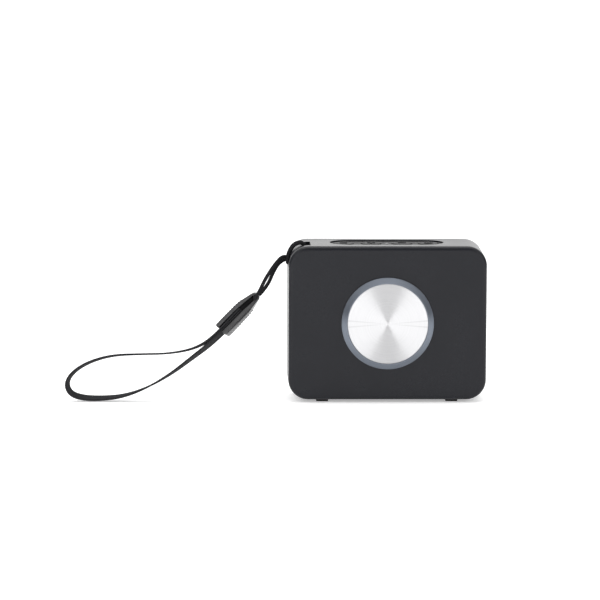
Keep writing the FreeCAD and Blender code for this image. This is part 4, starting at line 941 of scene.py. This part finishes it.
class InsideOperator(bpy.types.Operator):
    """Give the screws, the driver and the electronics their finishes"""

    bl_idname = "speaker.inside"
    bl_label = "Driver and Electronics"

    # name: colour, roughness, metallic, grain and clouds and depth in millimetres, contrast, nodes
    finishes = {
        "screw_steel": ((0.50, 0.50, 0.51), (0.28, 0.40), 1.0, 0.10, 1.0, 0.006, 0.15,
                        ("cover_screws", "basket_screws", "board_screws", "key_board_screws", "door_pin")),
        "zinc_steel": ((0.55, 0.56, 0.58), (0.30, 0.45), 1.0, 0.40, 4.0, 0.010, 0.18,
                       ("driver_basket", "top_plate", "yoke")),
        "ferrite": ((0.030, 0.030, 0.032), (0.45, 0.65), 0.1, 0.15, 2.0, 0.020, 0.30, ("ring_magnet",)),
        "surround_rubber": ((0.014, 0.014, 0.015), (0.40, 0.55), 0.0, 0.20, 3.0, 0.010, 0.15,
                            ("surround",)),
        "spider_cloth": ((0.55, 0.36, 0.13), (0.75, 0.90), 0.0, 0.25, 2.0, 0.060, 0.25, ("spider",)),
        "cone_paper": ((0.045, 0.043, 0.040), (0.75, 0.90), 0.0, 0.30, 2.5, 0.050, 0.30, ("cone",)),
        "coil_copper": ((0.72, 0.36, 0.18), (0.25, 0.40), 1.0, 0.12, 1.0, 0.020, 0.20, ("voice_coil",)),
        "board_laminate": ((0.012, 0.105, 0.040), (0.35, 0.50), 0.0, 0.30, 6.0, 0.010, 0.20,
                           ("main_board", "key_board", "terminal_strip")),
        "chip_black": ((0.016, 0.016, 0.018), (0.45, 0.60), 0.0, 0.12, 1.5, 0.010, 0.20,
                       ("amplifier_chip", "smoothing_capacitor")),
        "shield_tin": ((0.62, 0.62, 0.60), (0.25, 0.38), 1.0, 0.50, 3.0, 0.012, 0.12,
                       ("radio_module", "usb_socket", "switch_play", "switch_plus", "switch_minus",
                        "switch_power")),
        "plunger_white": ((0.62, 0.62, 0.58), (0.40, 0.55), 0.0, 0.20, 1.5, 0.008, 0.08,
                          ("plunger_play", "plunger_plus", "plunger_minus", "plunger_power")),
        "battery_wrap": ((0.10, 0.20, 0.42), (0.25, 0.40), 0.0, 0.60, 8.0, 0.030, 0.15, ("battery_cell",)),
        "battery_foam": ((0.030, 0.030, 0.030), (0.85, 0.95), 0.0, 0.50, 2.0, 0.120, 0.40,
                         ("battery_pad",)),
        "ribbon_film": ((0.55, 0.26, 0.05), (0.25, 0.35), 0.0, 0.30, 2.0, 0.006, 0.12, ("flex_ribbon",)),
        "lead_insulation": ((0.45, 0.03, 0.03), (0.35, 0.50), 0.0, 0.20, 2.0, 0.010, 0.15,
                            ("battery_leads", "speaker_leads")),
    }

    def execute(self, context):
        for name, (*look, nodes) in self.finishes.items():
            wear(plain_finish(name, *look), *nodes)
        made = {m for m in bpy.data.materials
                if m.use_nodes and any(n.type == "GROUP" for n in m.node_tree.nodes)}
        left = [name for name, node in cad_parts.items()
                if not node.hide_render and any(slot.material not in made for slot in node.material_slots)]
        if left:
            raise RuntimeError(f"these nodes have no finish: {sorted(left)}")
        return {"FINISHED"}


class SpeakerPanel(bpy.types.Panel):
    """Lists the operators and what they read"""

    bl_idname = "VIEW3D_PT_speaker"
    bl_label = "Shower Speaker"
    bl_space_type = "VIEW_3D"
    bl_region_type = "UI"
    bl_category = "Speaker"

    def draw(self, context):
        for operator in OPERATORS:
            self.layout.operator(operator.bl_idname)
        for group in (context.scene.speaker_sizes, context.scene.speaker_colours,
                      context.scene.speaker_studio):
            box = self.layout.box()
            for key in group.__annotations__:
                box.prop(group, key)


GROUPS = {"speaker_sizes": SpeakerSizes, "speaker_colours": SpeakerColours, "speaker_studio": SpeakerStudio}
OPERATORS = (StageOperator, SleeveOperator, CordOperator, TapeOperator, DiscOperator, ShellOperator,
             KeypadOperator, InsideOperator)


def register():
    for cls in (*GROUPS.values(), *OPERATORS, SpeakerPanel):
        bpy.utils.register_class(cls)
    for name, cls in GROUPS.items():
        setattr(bpy.types.Scene, name, bpy.props.PointerProperty(type=cls))


def unregister():
    for name in GROUPS:
        delattr(bpy.types.Scene, name)
    for cls in (SpeakerPanel, *OPERATORS[::-1], *GROUPS.values()):
        bpy.utils.unregister_class(cls)


def main():
    """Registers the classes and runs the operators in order."""
    register()
    for operator in OPERATORS:
        area, name = operator.bl_idname.split(".")
        getattr(getattr(bpy.ops, area), name)()


if __name__ == "__main__":
    main()
